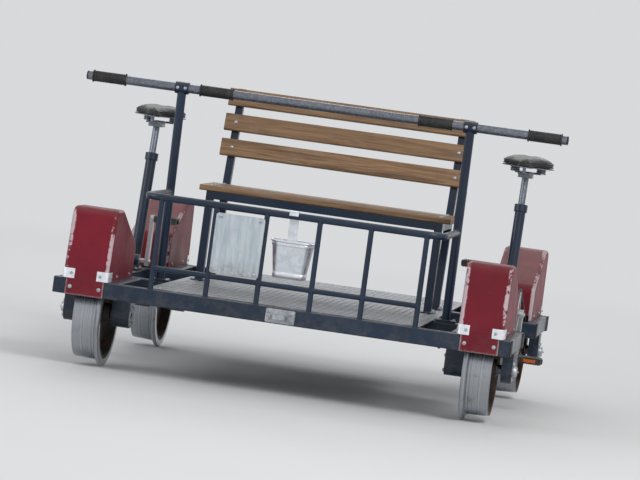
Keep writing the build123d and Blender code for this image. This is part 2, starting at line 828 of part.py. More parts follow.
# Tapered tub hung on the railing by its hook
tub_top = tub_bottom + tub_height
hook_inside = rail_radius + seat_gap
hook_outside = hook_inside + tub_hook_thickness
tub_place = rail_place + hook_inside + tub_hook_thickness / 2 + tub_top_depth / 2
with BuildPart() as tub:
    with BuildSketch(Plane.XY.offset(tub_top)):
        with Locations((0, tub_place)):
            RectangleRounded(tub_top_width, tub_top_depth, tub_corner)
    extrude(amount=-tub_height, taper=tub_taper)
    with BuildSketch(Plane.XY.offset(tub_top - tub_rim)):
        with Locations((0, tub_place)):
            RectangleRounded(tub_top_width + tub_rim, tub_top_depth + tub_rim, tub_corner + tub_rim / 2)
    extrude(amount=tub_rim)
    with BuildSketch(Plane.XY.offset(tub_top)):
        with Locations((0, tub_place)):
            RectangleRounded(tub_top_width - 2 * tub_wall, tub_top_depth - 2 * tub_wall, tub_corner - tub_wall)
    extrude(amount=-tub_height + tub_wall, taper=tub_taper, mode=Mode.SUBTRACT)
    with BuildSketch(Plane.YZ.offset(-tub_hook_width / 2)):
        with Locations((rail_place, rail_height)):
            Circle(hook_outside)
            with Locations((0, -hook_outside)):
                Rectangle(2 * hook_outside, 2 * hook_outside, mode=Mode.SUBTRACT)
        with BuildLine():
            Polyline(
                (rail_place + hook_inside, tub_top - tub_rim),
                (rail_place + hook_outside, tub_top - tub_rim),
                (rail_place + hook_outside, rail_height),
                (rail_place + hook_inside, rail_height),
                close=True,
            )
        make_face()
        with Locations((rail_place, rail_height)):
            Circle(hook_inside, mode=Mode.SUBTRACT)
    extrude(amount=tub_hook_width)
tub.part.label = "front_tub"
export_step(tub.part, "parts/front_tub.step")

# Bench frame: two welded side frames joined by two cross tubes
half_tube = bench_tube / 2
seat_tube_height = bench_height - half_tube
back_foot = bench_front + bench_depth - bench_tube
back_tilt = radians(back_lean)
back_top = (
    back_foot + half_tube + back_rise * sin(back_tilt),
    seat_tube_height + back_rise * cos(back_tilt),
)
with BuildPart() as bench_frame:
    for sign in sides.values():
        with BuildSketch(Plane.YZ.offset(sign * bench_side_place - half_tube)):
            with BuildLine():
                Polyline(
                    (bench_front + half_tube, floor_top),
                    (bench_front + half_tube, seat_tube_height),
                    (back_foot + half_tube, seat_tube_height),
                )
            trace(line_width=bench_tube)
            with BuildLine():
                Polyline(
                    (back_foot - bench_leg_splay, floor_top - half_tube),
                    (back_foot + half_tube, seat_tube_height),
                    back_top,
                )
            trace(line_width=bench_tube)
            with Locations((bench_front + half_tube, seat_tube_height)):
                Rectangle(bench_tube, bench_tube)
            with Locations(((bench_front + back_foot) / 2, floor_top - bench_tube)):
                Rectangle(2 * bench_depth, 2 * bench_tube, mode=Mode.SUBTRACT)
        extrude(amount=bench_tube)
    with BuildSketch(Plane.YZ.offset(-bench_side_place)):
        for place in (bench_front + half_tube, back_foot - half_tube):
            with Locations((place, seat_tube_height)):
                Rectangle(bench_tube, bench_tube)
    extrude(amount=2 * bench_side_place)
    with BuildSketch(Plane.XY.offset(floor_top)):
        for sign in sides.values():
            for place in (bench_front + half_tube, back_foot - bench_leg_splay):
                with Locations((sign * bench_side_place, place)):
                    RectangleRounded(bench_foot_width, bench_foot_length, plate_corner)
    extrude(amount=bench_foot_thickness)
bench_frame.part.label = "bench_frame"
export_step(bench_frame.part, "parts/bench_frame.step")

# Seat slats across the frame, and back slats on the front of its uprights
slat_step = (bench_depth - bench_tube - slat_end_gap - slat_width) / (seat_slat_count - 1)
with BuildPart() as seat:
    with BuildSketch(Plane.YZ.offset(-bench_half_width)):
        for index in range(seat_slat_count):
            slat_place = bench_front + slat_width / 2 + index * slat_step
            with Locations((slat_place, bench_height + slat_thickness / 2)):
                RectangleRounded(slat_width, slat_thickness, slat_corner)
    extrude(amount=2 * bench_half_width)
seat.part.label = "bench_seat"
export_step(seat.part, "parts/bench_seat.step")

lean_up = Vector(0, sin(back_tilt), cos(back_tilt))
lean_front = Vector(0, -cos(back_tilt), sin(back_tilt))
back_start = Vector(0, back_foot + half_tube, seat_tube_height)
with BuildPart() as back:
    for index in range(back_slat_count):
        rise = back_rise - back_top_margin - index * (back_slat_width + back_slat_gap)
        centre = back_start + lean_up * rise + lean_front * (half_tube + slat_thickness / 2)
        slat_end = Plane(origin=(-bench_half_width, centre.Y, centre.Z), x_dir=lean_up, z_dir=(1, 0, 0))
        with BuildSketch(slat_end):
            RectangleRounded(back_slat_width, slat_thickness, slat_corner)
        extrude(amount=2 * bench_half_width)
back.part.label = "bench_back"
export_step(back.part, "parts/bench_back.step")

# Wheel guards: a folded cover over each wheel, its front skirt hanging before the end beam
guard_face = end_beam_face + guard_wall
guard_tail = half_base - wheel_radius - guard_tail_gap
for end, end_sign in ends.items():
    for side, sign in sides.items():
        with BuildPart() as guard:
            with BuildSketch(Plane.YZ.offset(sign * unit_place - guard_half_width)):
                with BuildLine():
                    crown = FilletPolyline(
                        (end_sign * guard_face, beam_top),
                        (end_sign * guard_face, beam_top + guard_lip),
                        (end_sign * (guard_face - guard_rake), guard_top),
                        (end_sign * (guard_face - guard_rake - guard_crown), guard_top),
                        (end_sign * guard_tail, guard_tail_height),
                        (end_sign * guard_tail, beam_top),
                        radius=(guard_bend / 4, guard_bend, guard_bend, guard_bend),
                    )
                    Line(crown @ 1, crown @ 0)
                make_face()
            extrude(amount=2 * guard_half_width)
            side_edges = guard.faces().filter_by(Axis.X).edges()
            floor_edges = guard.faces().sort_by(Axis.Z)[0].edges()
            fillet(side_edges - floor_edges, guard_edge)
            offset(amount=-guard_wall, openings=guard.faces().sort_by(Axis.Z)[0])
            with BuildSketch(Plane.XZ.offset(-end_sign * guard_face)):
                with Locations((sign * unit_place, beam_middle)):
                    Rectangle(2 * (guard_half_width - guard_edge), beam_height)
            extrude(amount=end_sign * guard_wall)
            if end == "rear":
                with BuildSketch(Plane.XZ.offset(-guard_tail + guard_wall)):
                    with Locations((sign * chain_plane, beam_top + chain_notch_height / 2)):
                        Rectangle(chain_notch_width, chain_notch_height)
                extrude(amount=-3 * guard_wall, mode=Mode.SUBTRACT)
        name = f"wheel_guard_{end}_{side}"
        guard.part.label = name
        export_step(guard.part, f"parts/{name}.step")

# Hand brake: shaft with a shoe arm before each rear wheel, brackets, and the lever with its rod
shaft_place = half_base - wheel_radius - brake_shaft_gap - brake_shaft_radius
shaft_boss = brake_shaft_radius + brake_boss_wall
shoe_start = tread_start + shoe_side_gap
shoe_end = tread_end - shoe_side_gap
shoe_inside = tread_radius + tread_cone + shoe_gap
shoe_outside = shoe_inside + shoe_thickness
rod_rear = (shaft_place, brake_shaft_height - brake_crank_length)
with BuildPart() as brake_shaft:
    with BuildSketch(Plane.YZ.offset(-brake_shaft_half_length)):
        with Locations((shaft_place, brake_shaft_height)):
            Circle(brake_shaft_radius)
    extrude(amount=2 * brake_shaft_half_length)
    for sign in sides.values():
        shoe_side = Plane.YZ.offset(min(sign * shoe_start, sign * shoe_end))
        with BuildSketch(shoe_side):
            with Locations((half_base - shoe_inside - shoe_thickness / 2, axle_height)):
                Rectangle(2 * shoe_thickness, shoe_height)
            with Locations((half_base, axle_height)):
                Circle(shoe_inside, mode=Mode.SUBTRACT)
        extrude(amount=shoe_end - shoe_start)
        arm_x = sign * (shoe_start + shoe_end) / 2
        with BuildSketch(Plane.YZ.offset(arm_x - brake_arm_width / 2)):
            with Locations((shaft_place, brake_shaft_height)):
                Circle(shaft_boss)
            with Locations((half_base - shoe_outside, axle_height)):
                Circle(shaft_boss / 2)
            make_hull()
        extrude(amount=brake_arm_width)
    with BuildSketch(Plane.YZ.offset(lever_place - lever_thickness / 2)):
        with Locations((shaft_place, brake_shaft_height)):
            Circle(shaft_boss)
        with Locations(rod_rear):
            Circle(lever_pin_radius + brake_rod_radius)
        make_hull()
    extrude(amount=lever_thickness)
brake_shaft.part.label = "brake_shaft"
export_step(brake_shaft.part, "parts/brake_shaft.step")

with BuildPart() as brackets:
    for place in brake_bracket_places:
        for sign in sides.values():
            bracket_side = Plane.YZ.offset(sign * place - brake_bracket_thickness / 2)
            with BuildSketch(bracket_side):
                with Locations((shaft_place, brake_shaft_height)):
                    Circle(shaft_boss)
                with Locations((rear_middle_place, beam_bottom - shaft_boss / 2)):
                    Rectangle(beam_width, shaft_boss)
                make_hull()
            extrude(amount=brake_bracket_thickness)
            with BuildSketch(bracket_side):
                with Locations((shaft_place, brake_shaft_height)):
                    Circle(brake_shaft_radius + running_fit)
            extrude(amount=brake_bracket_thickness, mode=Mode.SUBTRACT)
brackets.part.label = "brake_brackets"
export_step(brackets.part, "parts/brake_brackets.step")

lever_tilt = radians(lever_lean)
lever_up = Vector(0, sin(lever_tilt), cos(lever_tilt))
lever_pivot = Vector(lever_place, lever_pivot_place, lever_pivot_height)
lever_foot = lever_pivot - lever_up * lever_tail
lever_head = lever_pivot + lever_up * lever_length
stringer_face = stringer_place + stringer_width / 2
rod_run = Vector(lever_place, *rod_rear) - lever_foot
with BuildPart() as brake_lever:
    with BuildSketch(Plane.YZ.offset(lever_place - lever_thickness / 2)):
        for point, radius in ((lever_foot, lever_width / 2), (lever_head, lever_width / 3)):
            with Locations((point.Y, point.Z)):
                Circle(radius)
        make_hull()
    extrude(amount=lever_thickness)
    with BuildSketch(Plane.YZ.offset(stringer_face)):
        with Locations((lever_pivot_place, lever_pivot_height)):
            Circle(lever_pin_radius)
    extrude(amount=lever_place - stringer_face + lever_thickness)
    with BuildSketch(Plane(origin=lever_head, z_dir=lever_up)):
        Circle(lever_grip_radius)
    extrude(amount=lever_grip_length / 2, both=True)
    with BuildSketch(Plane(origin=lever_foot, z_dir=rod_run)):
        Circle(brake_rod_radius)
    extrude(amount=rod_run.length - lever_pin_radius - 2 * brake_rod_radius - seat_gap)
brake_lever.part.label = "brake_lever"
export_step(brake_lever.part, "parts/brake_lever.step")
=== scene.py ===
"""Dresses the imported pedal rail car: materials, small fittings and padded saddles, in studio light.

Metres, +Z up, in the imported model's frame. The car faces -Y. The riders' left is at +X.
"""
import bmesh
import bpy
import json
from math import atan2, cos, exp, hypot, pi, radians, sin, tan
from mathutils import Matrix, Vector, noise


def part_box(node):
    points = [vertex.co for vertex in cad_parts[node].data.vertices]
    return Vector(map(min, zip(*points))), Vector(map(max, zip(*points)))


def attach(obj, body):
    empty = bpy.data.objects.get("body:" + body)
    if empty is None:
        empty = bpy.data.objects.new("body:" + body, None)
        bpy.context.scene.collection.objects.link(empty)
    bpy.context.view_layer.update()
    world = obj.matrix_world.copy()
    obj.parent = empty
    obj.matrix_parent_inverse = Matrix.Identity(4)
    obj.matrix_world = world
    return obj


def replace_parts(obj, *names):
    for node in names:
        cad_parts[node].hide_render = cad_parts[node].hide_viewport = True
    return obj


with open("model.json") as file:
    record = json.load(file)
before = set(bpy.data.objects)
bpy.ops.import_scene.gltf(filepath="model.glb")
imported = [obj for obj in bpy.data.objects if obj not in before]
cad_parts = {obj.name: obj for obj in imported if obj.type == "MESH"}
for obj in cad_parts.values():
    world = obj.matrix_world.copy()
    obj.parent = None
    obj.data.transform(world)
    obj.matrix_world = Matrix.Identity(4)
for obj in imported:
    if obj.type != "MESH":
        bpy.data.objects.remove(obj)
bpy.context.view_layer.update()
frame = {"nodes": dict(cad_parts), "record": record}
slot_of = {part["node"]: part["material_slot"] for part in frame["record"]["subparts"]}
sides = {"left": 1, "right": -1}
ends = {"front": -1, "rear": 1}

# Places that the fittings share with the solids
unit_x = 0.745
axle_z = 0.205
half_base = 0.6
beam_low, beam_high, beam_half = 0.275, 0.335, 0.03
floor_z = 0.339
cross_beam_y = (-0.85, -0.34, 0.3, 0.85)
guard_face_y = 0.883
crank_y, crank_z = -0.06, 0.385
chain_x = 0.8055
chain_pitch = 0.0127
chainring_r, sprocket_r = 0.09702, 0.04851
bar_y, bar_z = -0.4, 1.085
post_x, post_foot_y, post_r, post_slope = 0.56, -0.34, 0.017, -0.06 / 0.75
post_plate_z = beam_high + 0.008
bench_x, bench_foot_z = 0.455, floor_z + 0.005


# Materials
class Nodes:
    """A material's node tree, written one node a line."""

    def __init__(self, name):
        self.material = bpy.data.materials.new(name)
        self.material.use_nodes = True
        self.tree = self.material.node_tree
        self.tree.nodes.clear()
        self.shader = self.tree.nodes.new("ShaderNodeBsdfPrincipled")
        output = self.tree.nodes.new("ShaderNodeOutputMaterial")
        self.tree.links.new(self.shader.outputs["BSDF"], output.inputs["Surface"])
        self.place = self.add("TexCoord", {}, "Object")

    def put(self, socket, value):
        if isinstance(value, bpy.types.NodeSocket):
            self.tree.links.new(value, socket)
        else:
            socket.default_value = value

    def add(self, kind, inputs, output=0, **settings):
        node = self.tree.nodes.new("ShaderNode" + kind)
        for key, value in settings.items():
            setattr(node, key, value)
        for key, value in inputs.items():
            self.put(node.inputs[key], value)
        return node.outputs[output]

    def math(self, operation, first, second=0.0, clamp=False):
        return self.add("Math", {0: first, 1: second}, operation=operation, use_clamp=clamp)

    def axis(self, letter):
        """The surface's own X, Y or Z."""
        return self.add("SeparateXYZ", {0: self.place}, letter)

    def noise(self, scale, detail=4.0, roughness=0.55, stretch=(1, 1, 1)):
        vector = self.add("Mapping", {"Vector": self.place, "Scale": stretch})
        inputs = {"Vector": vector, "Scale": scale, "Detail": detail, "Roughness": roughness}
        return self.add("TexNoise", inputs, "Fac")

    def ramp(self, value, low, high, start=0.0, end=1.0):
        inputs = {"Value": value, "From Min": low, "From Max": high, "To Min": start, "To Max": end}
        return self.add("MapRange", inputs, interpolation_type="SMOOTHSTEP")

    def mix(self, factor, first, second):
        inputs = {0: factor, 6: colour4(first), 7: colour4(second)}
        return self.add("Mix", inputs, 2, data_type="RGBA")

    def bump(self, height, strength, distance, normal=None):
        inputs = {"Height": height, "Strength": strength, "Distance": distance}
        if normal is not None:
            inputs["Normal"] = normal
        return self.add("Bump", inputs)

    def rounded(self, radius):
        """The normal with its edges rounded."""
        return self.add("Bevel", {"Radius": radius}, samples=4)

    def edges(self, radius):
        """(mask of the outer edges and corners, the normal with those edges rounded)"""
        rounded = self.rounded(radius)
        flat = self.add("NewGeometry", {}, "Normal")
        turn = self.add("VectorMath", {0: rounded, 1: flat}, "Value", operation="DOT_PRODUCT")
        return self.ramp(turn, 0.995, 0.86), rounded

    def facing_up(self):
        normal = self.add("NewGeometry", {}, "Normal")
        return self.ramp(self.add("SeparateXYZ", {0: normal}, "Z"), 0.3, 0.95)

    def finish(self, **sockets):
        for key, value in sockets.items():
            self.put(self.shader.inputs[key.replace("_", " ")], value)
        return self.material


def colour4(value):
    """A colour with its alpha. A socket stays as it is."""
    return (*value, 1.0) if isinstance(value, tuple) else value


def pale_folds_worn_and_highlit(n):
    """Mask of the folds beside a guard's flat sides, in patches: worn pale there, and a painted highlight
    where the rounded folds catch the sky.
    """
    from_middle = n.math("ABSOLUTE", n.math("SUBTRACT", n.math("ABSOLUTE", n.axis("X")), unit_x))
    sideways = n.add("SeparateXYZ", {0: n.add("NewGeometry", {}, "Normal")}, "X")
    fold = n.ramp(from_middle, 0.062, 0.074)
    fold = n.math("MULTIPLY", fold, n.ramp(n.math("ABSOLUTE", sideways), 0.985, 0.85))
    fold = n.math("MULTIPLY", fold, n.ramp(n.facing_up(), 0.0, 1.0, 1.0, 0.8))
    broad = n.ramp(n.noise(6, 5), 0.2, 0.8, -0.5, 0.5)
    small = n.ramp(n.noise(55, 7, 0.75), 0.2, 0.8, -0.45, 0.45)
    patches = n.math("ADD", broad, small)
    return n.math("MULTIPLY", fold, n.ramp(n.math("ADD", fold, patches), 0.80, 0.90))


def painted(name, colour, shade, chip_and_highlight_colour, dust, wear, gloss, coat, shine, radius=0.003, rubbed=0.0):
    """Paint with broad shading, chips on its edges, fine scratches and dust on what faces up.

    Where rubbed is given, the folds beside a guard's flat sides are made pale: partly wear, partly a painted
    highlight of the sky on the rounded folds.
    On the guard the pale colour of the edge chips is that painted highlight too, mixed with wear.
    """
    n = Nodes(name)
    edge, rounded = n.edges(radius)
    paint = n.mix(n.ramp(n.noise(2.6, 5), 0.3, 0.7), shade, colour)
    paint = n.mix(n.ramp(n.noise(14, 5), 0.52, 0.72, 0.0, 0.35), paint, shade)
    # Pale chips on the edges. On the guard they are partly a painted highlight along its rounded edges.
    chips_and_edge_highlight = n.math("MULTIPLY", edge, n.ramp(n.noise(95, 6, 0.7), wear, wear + 0.1))
    chips_and_edge_highlight = n.math("MAXIMUM", chips_and_edge_highlight, n.ramp(n.noise(260, 3, 0.6), 0.73, 0.76))
    # On the guard the pale folds are partly wear and partly a painted highlight of the sky on its rounded
    # edges.
    if rubbed:
        chips_and_edge_highlight = n.math("MAXIMUM", chips_and_edge_highlight, n.math("MULTIPLY", pale_folds_worn_and_highlit(n), rubbed))
    paint = n.mix(chips_and_edge_highlight, paint, chip_and_highlight_colour)
    settled = n.math("MULTIPLY", n.facing_up(), n.ramp(n.noise(9, 6), 0.35, 0.75, 0.1, dust))
    low = n.ramp(n.axis("Z"), 0.42, 0.2, 0.0, dust * 0.6)
    splash = n.math("MULTIPLY", low, n.ramp(n.noise(22, 7, 0.7), 0.42, 0.66))
    dirty = n.math("MAXIMUM", settled, splash)
    base = n.mix(dirty, paint, (0.17, 0.15, 0.12))
    rough = n.ramp(n.noise(7, 6, 0.65), 0.25, 0.75, gloss, gloss + 0.16)
    rough = n.math("ADD", rough, n.math("MULTIPLY", dirty, 0.5), clamp=True)
    normal = n.bump(n.noise(900, 2), 0.06, 0.0004, rounded)
    normal = n.bump(chips_and_edge_highlight, -0.5, 0.0003, normal)
    n.finish(Coat_Weight=coat, Coat_Roughness=0.12, Specular_IOR_Level=shine)
    return n.finish(Base_Color=base, Roughness=rough, Normal=normal)


def galvanised(name, colour, shade, stain, spangle, smoothest):
    """Zinc on steel: crystal spangle, dull patches and a few stains."""
    n = Nodes(name)
    crystals = n.add("TexVoronoi", {"Vector": n.place, "Scale": spangle, "Randomness": 1.0}, "Color")
    crystal = n.add("SeparateColor", {0: crystals}, 0)
    dull = n.noise(11, 6, 0.6)
    base = n.mix(n.ramp(crystal, 0.0, 1.0, 0.15, 0.85), shade, colour)
    base = n.mix(n.ramp(dull, 0.55, 0.75, 0.0, 0.7), base, shade)
    stained = n.ramp(n.noise(24, 8, 0.7), 0.62, 0.74, 0.0, 0.6)
    base = n.mix(stained, base, stain)
    rough = n.ramp(crystal, 0, 1, smoothest, smoothest + 0.12)
    rough = n.math("ADD", rough, n.ramp(dull, 0.5, 0.8, 0.0, 0.2))
    normal = n.bump(n.noise(420, 3), 0.08, 0.0005, n.rounded(0.0015))
    metallic = n.ramp(stained, 0.0, 0.6, 0.85, 0.3)
    return n.finish(Base_Color=base, Metallic=metallic, Roughness=rough, Normal=normal)


def weathered_board():
    """Pale board with rain streaks, a scuffed rim and dirt along its lower edge."""
    n = Nodes("board_white")
    edge, rounded = n.edges(0.003)
    streaks = n.noise(11, 6, 0.65, (6, 1, 0.7))
    base = n.mix(n.ramp(streaks, 0.36, 0.66), (0.40, 0.475, 0.525), (0.57, 0.62, 0.665))
    base = n.mix(n.ramp(n.noise(26, 6, 0.7), 0.56, 0.74, 0.0, 0.45), base, (0.36, 0.39, 0.41))
    splashed = n.ramp(n.noise(40, 7, 0.7), 0.4, 0.65, 0.15, 0.7)
    dirt = n.math("MULTIPLY", n.ramp(n.axis("Z"), 0.50, 0.432), splashed)
    dirt = n.math("MAXIMUM", dirt, n.math("MULTIPLY", edge, n.ramp(n.noise(70), 0.4, 0.6, 0.0, 0.8)))
    base = n.mix(dirt, base, (0.19, 0.18, 0.165))
    rough = n.ramp(streaks, 0.3, 0.7, 0.38, 0.5)
    rough = n.math("ADD", rough, n.math("MULTIPLY", dirt, 0.3), clamp=True)
    normal = n.bump(n.noise(600, 3), 0.08, 0.0004, rounded)
    return n.finish(Base_Color=base, Roughness=rough, Normal=normal)


def wheel_metal():
    """Forged wheel: tread and flange polished by the rail, rusty dust on the web and hub."""
    n = Nodes("wheel_steel")
    edge, rounded = n.edges(0.002)
    across = n.math("SUBTRACT", n.math("ABSOLUTE", n.axis("Y")), half_base)
    rise = n.math("SUBTRACT", n.axis("Z"), axle_z)
    radius = n.math("SQRT", n.math("ADD", n.math("POWER", across, 2), n.math("POWER", rise, 2)))
    polished = n.ramp(radius, 0.1755, 0.1775)
    band = n.add("CombineXYZ", {"X": n.math("ABSOLUTE", n.axis("X")), "Y": radius, "Z": 0.0})
    streaks = n.add("TexNoise", {"Vector": band, "Scale": 420.0, "Detail": 5.0, "Roughness": 0.7}, "Fac")
    tread = n.mix(n.ramp(streaks, 0.3, 0.7), (0.27, 0.285, 0.31), (0.55, 0.575, 0.61))
    tread = n.mix(n.ramp(n.noise(18, 6, 0.65), 0.55, 0.75, 0.0, 0.55), tread, (0.16, 0.13, 0.11))
    rust = n.mix(n.ramp(n.noise(16, 8, 0.7), 0.35, 0.7), (0.035, 0.035, 0.04), (0.13, 0.07, 0.045))
    rust = n.mix(n.ramp(n.noise(70, 6, 0.7), 0.55, 0.75, 0.0, 0.7), rust, (0.19, 0.15, 0.115))
    rust = n.mix(n.math("MULTIPLY", edge, n.ramp(n.noise(60), 0.45, 0.6)), rust, (0.34, 0.33, 0.32))
    base = n.mix(polished, rust, tread)
    rough = n.mix(polished, (0.72, 0.72, 0.72), (0.27, 0.27, 0.27))
    rough = n.math("ADD", rough, n.ramp(streaks, 0.3, 0.8, -0.04, 0.12))
    normal = n.bump(n.noise(220, 8, 0.75), n.ramp(polished, 0, 1, 0.35, 0.05), 0.0008, rounded)
    metallic = n.ramp(polished, 0, 1, 0.15, 0.95)
    return n.finish(Base_Color=base, Metallic=metallic, Roughness=rough, Normal=normal)


def wood():
    """Oiled slats with grain along X, each slat a little lighter or darker than the next."""
    n = Nodes("bench_wood")
    edge, rounded = n.edges(0.003)
    seat_slats_a_metre, back_slats_a_metre = 13.6, 9.6
    slat = n.math(
        "ADD",
        n.math("FLOOR", n.math("MULTIPLY", n.axis("Y"), seat_slats_a_metre)),
        n.math("FLOOR", n.math("MULTIPLY", n.axis("Z"), back_slats_a_metre)),
    )
    tone = n.add("TexWhiteNoise", {"W": slat}, "Value", noise_dimensions="1D")
    shift = {"X": n.math("MULTIPLY", tone, 7.0), "Y": n.math("MULTIPLY", tone, 3.0), "Z": 0.0}
    moved = n.add("VectorMath", {0: n.place, 1: n.add("CombineXYZ", shift)}, "Vector", operation="ADD")
    grain = n.add("Mapping", {"Vector": moved, "Scale": (1.3, 26, 26)})
    inputs = {"Vector": grain, "Scale": 2.2, "Detail": 7.0, "Roughness": 0.62, "Distortion": 0.9}
    rings = n.add("TexNoise", inputs, "Fac")
    fine = n.add("Mapping", {"Vector": moved, "Scale": (14, 420, 420)})
    pores = n.add("TexNoise", {"Vector": fine, "Scale": 1.0, "Detail": 3.0}, "Fac")
    base = n.mix(n.ramp(rings, 0.32, 0.68), (0.105, 0.052, 0.024), (0.36, 0.215, 0.11))
    base = n.mix(n.ramp(tone, 0, 1, 0.0, 0.45), base, (0.2, 0.115, 0.058))
    base = n.mix(n.ramp(pores, 0.58, 0.72, 0.0, 0.65), base, (0.055, 0.03, 0.017))
    grey = n.math("MAXIMUM", n.math("MULTIPLY", edge, 0.6), n.ramp(n.noise(6, 6), 0.5, 0.8, 0.0, 0.4))
    base = n.mix(grey, base, (0.33, 0.28, 0.22))
    normal = n.bump(rings, 0.25, 0.0015, rounded)
    normal = n.bump(pores, -0.35, 0.0006, normal)
    return n.finish(Base_Color=base, Roughness=n.ramp(rings, 0.2, 0.8, 0.42, 0.62), Normal=normal)


def vinyl():
    """Black saddle cover with a pressed grain, greyed where riders sit."""
    n = Nodes("saddle_vinyl")
    cells = n.add("TexVoronoi", {"Vector": n.place, "Scale": 620.0}, "Distance", feature="F1")
    rubbed = n.ramp(n.noise(13, 5), 0.45, 0.75)
    base = n.mix(rubbed, (0.012, 0.012, 0.014), (0.035, 0.034, 0.035))
    dust = n.math("MULTIPLY", n.facing_up(), n.ramp(n.noise(30, 7), 0.5, 0.75, 0.0, 0.35))
    base = n.mix(dust, base, (0.13, 0.12, 0.105))
    rough = n.ramp(rubbed, 0, 1, 0.5, 0.36)
    normal = n.bump(cells, 0.35, 0.0005)
    normal = n.bump(n.noise(45, 4), 0.2, 0.0015, normal)
    return n.finish(Base_Color=base, Roughness=rough, Normal=normal, Sheen_Weight=0.05)


def moulded(name, colour, pale, smoothest, grain):
    """Rubber or plastic with a moulded grain and dust in its hollows."""
    n = Nodes(name)
    edge, rounded = n.edges(0.0012)
    base = n.mix(n.ramp(n.noise(30, 6), 0.4, 0.75, 0.0, 0.6), colour, pale)
    base = n.mix(n.math("MULTIPLY", edge, n.ramp(n.noise(120), 0.45, 0.6, 0.0, 0.5)), base, pale)
    rough = n.ramp(n.noise(50), 0.3, 0.7, smoothest, smoothest + 0.15)
    normal = n.bump(n.noise(grain, 4), 0.25, 0.0004, rounded)
    return n.finish(Base_Color=base, Roughness=rough, Normal=normal)


def worn_plate():
    """Aluminium tread plate, scuffed bright where feet rub and dirty between."""
    n = Nodes("floor_metal")
    high = n.ramp(n.axis("Z"), floor_z + 0.0003, floor_z + 0.0012)
    scuffs = n.noise(34, 8, 0.72, (1, 3, 1))
    base = n.mix(n.ramp(scuffs, 0.35, 0.68), (0.15, 0.155, 0.165), (0.36, 0.38, 0.41))
    base = n.mix(n.ramp(n.noise(5, 6), 0.5, 0.72, 0.0, 0.6), base, (0.12, 0.105, 0.085))
    scuffed = n.math("MULTIPLY", high, n.ramp(scuffs, 0.3, 0.6, 0.4, 0.95))
    base = n.mix(scuffed, base, (0.62, 0.64, 0.67))
    rough = n.ramp(scuffs, 0.3, 0.7, 0.36, 0.62)
    normal = n.bump(scuffs, 0.12, 0.0006, n.rounded(0.0012))
    return n.finish(Base_Color=base, Metallic=0.75, Roughness=rough, Normal=normal)


def reflector():
    """Amber lens with small moulded cells."""
    n = Nodes("reflector_amber")
    cells = n.add("TexVoronoi", {"Vector": n.place, "Scale": 420.0}, "Distance", feature="F1")
    base = n.mix(n.ramp(cells, 0.1, 0.6), (0.75, 0.2, 0.012), (0.5, 0.09, 0.006))
    return n.finish(Base_Color=base, Roughness=0.12, Coat_Weight=0.6, Normal=n.bump(cells, 0.8, 0.0012))


# For each: colour, its darker patches, stains, crystals to the metre, least roughness
zinc_kinds = {
    "bar_steel": ((0.23, 0.25, 0.29), (0.15, 0.165, 0.195), (0.11, 0.095, 0.08), 130, 0.27),
    "galvanised_steel": ((0.54, 0.56, 0.59), (0.34, 0.36, 0.39), (0.22, 0.15, 0.1), 90, 0.38),
    "tub_metal": ((0.82, 0.86, 0.91), (0.64, 0.685, 0.74), (0.36, 0.33, 0.3), 60, 0.34),
    "crank_alloy": ((0.6, 0.61, 0.62), (0.4, 0.41, 0.42), (0.1, 0.09, 0.08), 700, 0.28),
    "chain_steel": ((0.12, 0.11, 0.1), (0.055, 0.05, 0.045), (0.09, 0.05, 0.03), 500, 0.32),
    "bright_zinc": ((0.93, 0.95, 0.98), (0.80, 0.83, 0.88), (0.45, 0.41, 0.37), 110, 0.36),
}
finishes = {
    "frame_paint": painted(
        "frame_paint", (0.009, 0.025, 0.056), (0.005, 0.015, 0.035), (0.2, 0.16, 0.13),
        dust=0.5, wear=0.5, gloss=0.26, coat=0.15, shine=0.4,
    ),
    # Painted highlight: the guard's pale pink chip colour, wide edge mask, low wear threshold and rubbed
    # folds stand partly for sky caught on its rounded edges, partly for wear.
    "guard_red": painted(
        "guard_red", (0.205, 0.007, 0.021), (0.125, 0.005, 0.015), (0.60, 0.49, 0.52),
        dust=0.3, wear=0.3, gloss=0.44, coat=0.04, shine=0.28, radius=0.010, rubbed=0.9,
    ),
    "board_white": weathered_board(),
    "wheel_steel": wheel_metal(),
    "floor_metal": worn_plate(),
    "bench_wood": wood(),
    "saddle_vinyl": vinyl(),
    "grip_rubber": moulded("grip_rubber", (0.014, 0.014, 0.015), (0.06, 0.057, 0.052), 0.55, 700),
    "pedal_plastic": moulded("pedal_plastic", (0.016, 0.016, 0.018), (0.075, 0.07, 0.065), 0.42, 500),
    **{name: galvanised(name, *values) for name, values in zinc_kinds.items()},
}
amber, bright = reflector(), finishes["bright_zinc"]
for node, solid in frame["nodes"].items():
    for entry in solid.material_slots:
        entry.material = finishes[slot_of[node]]


# Mesh helpers
def linked(name, data):
    """New object in the scene."""
    made = bpy.data.objects.new(name, data)
    bpy.context.scene.collection.objects.link(made)
    return made


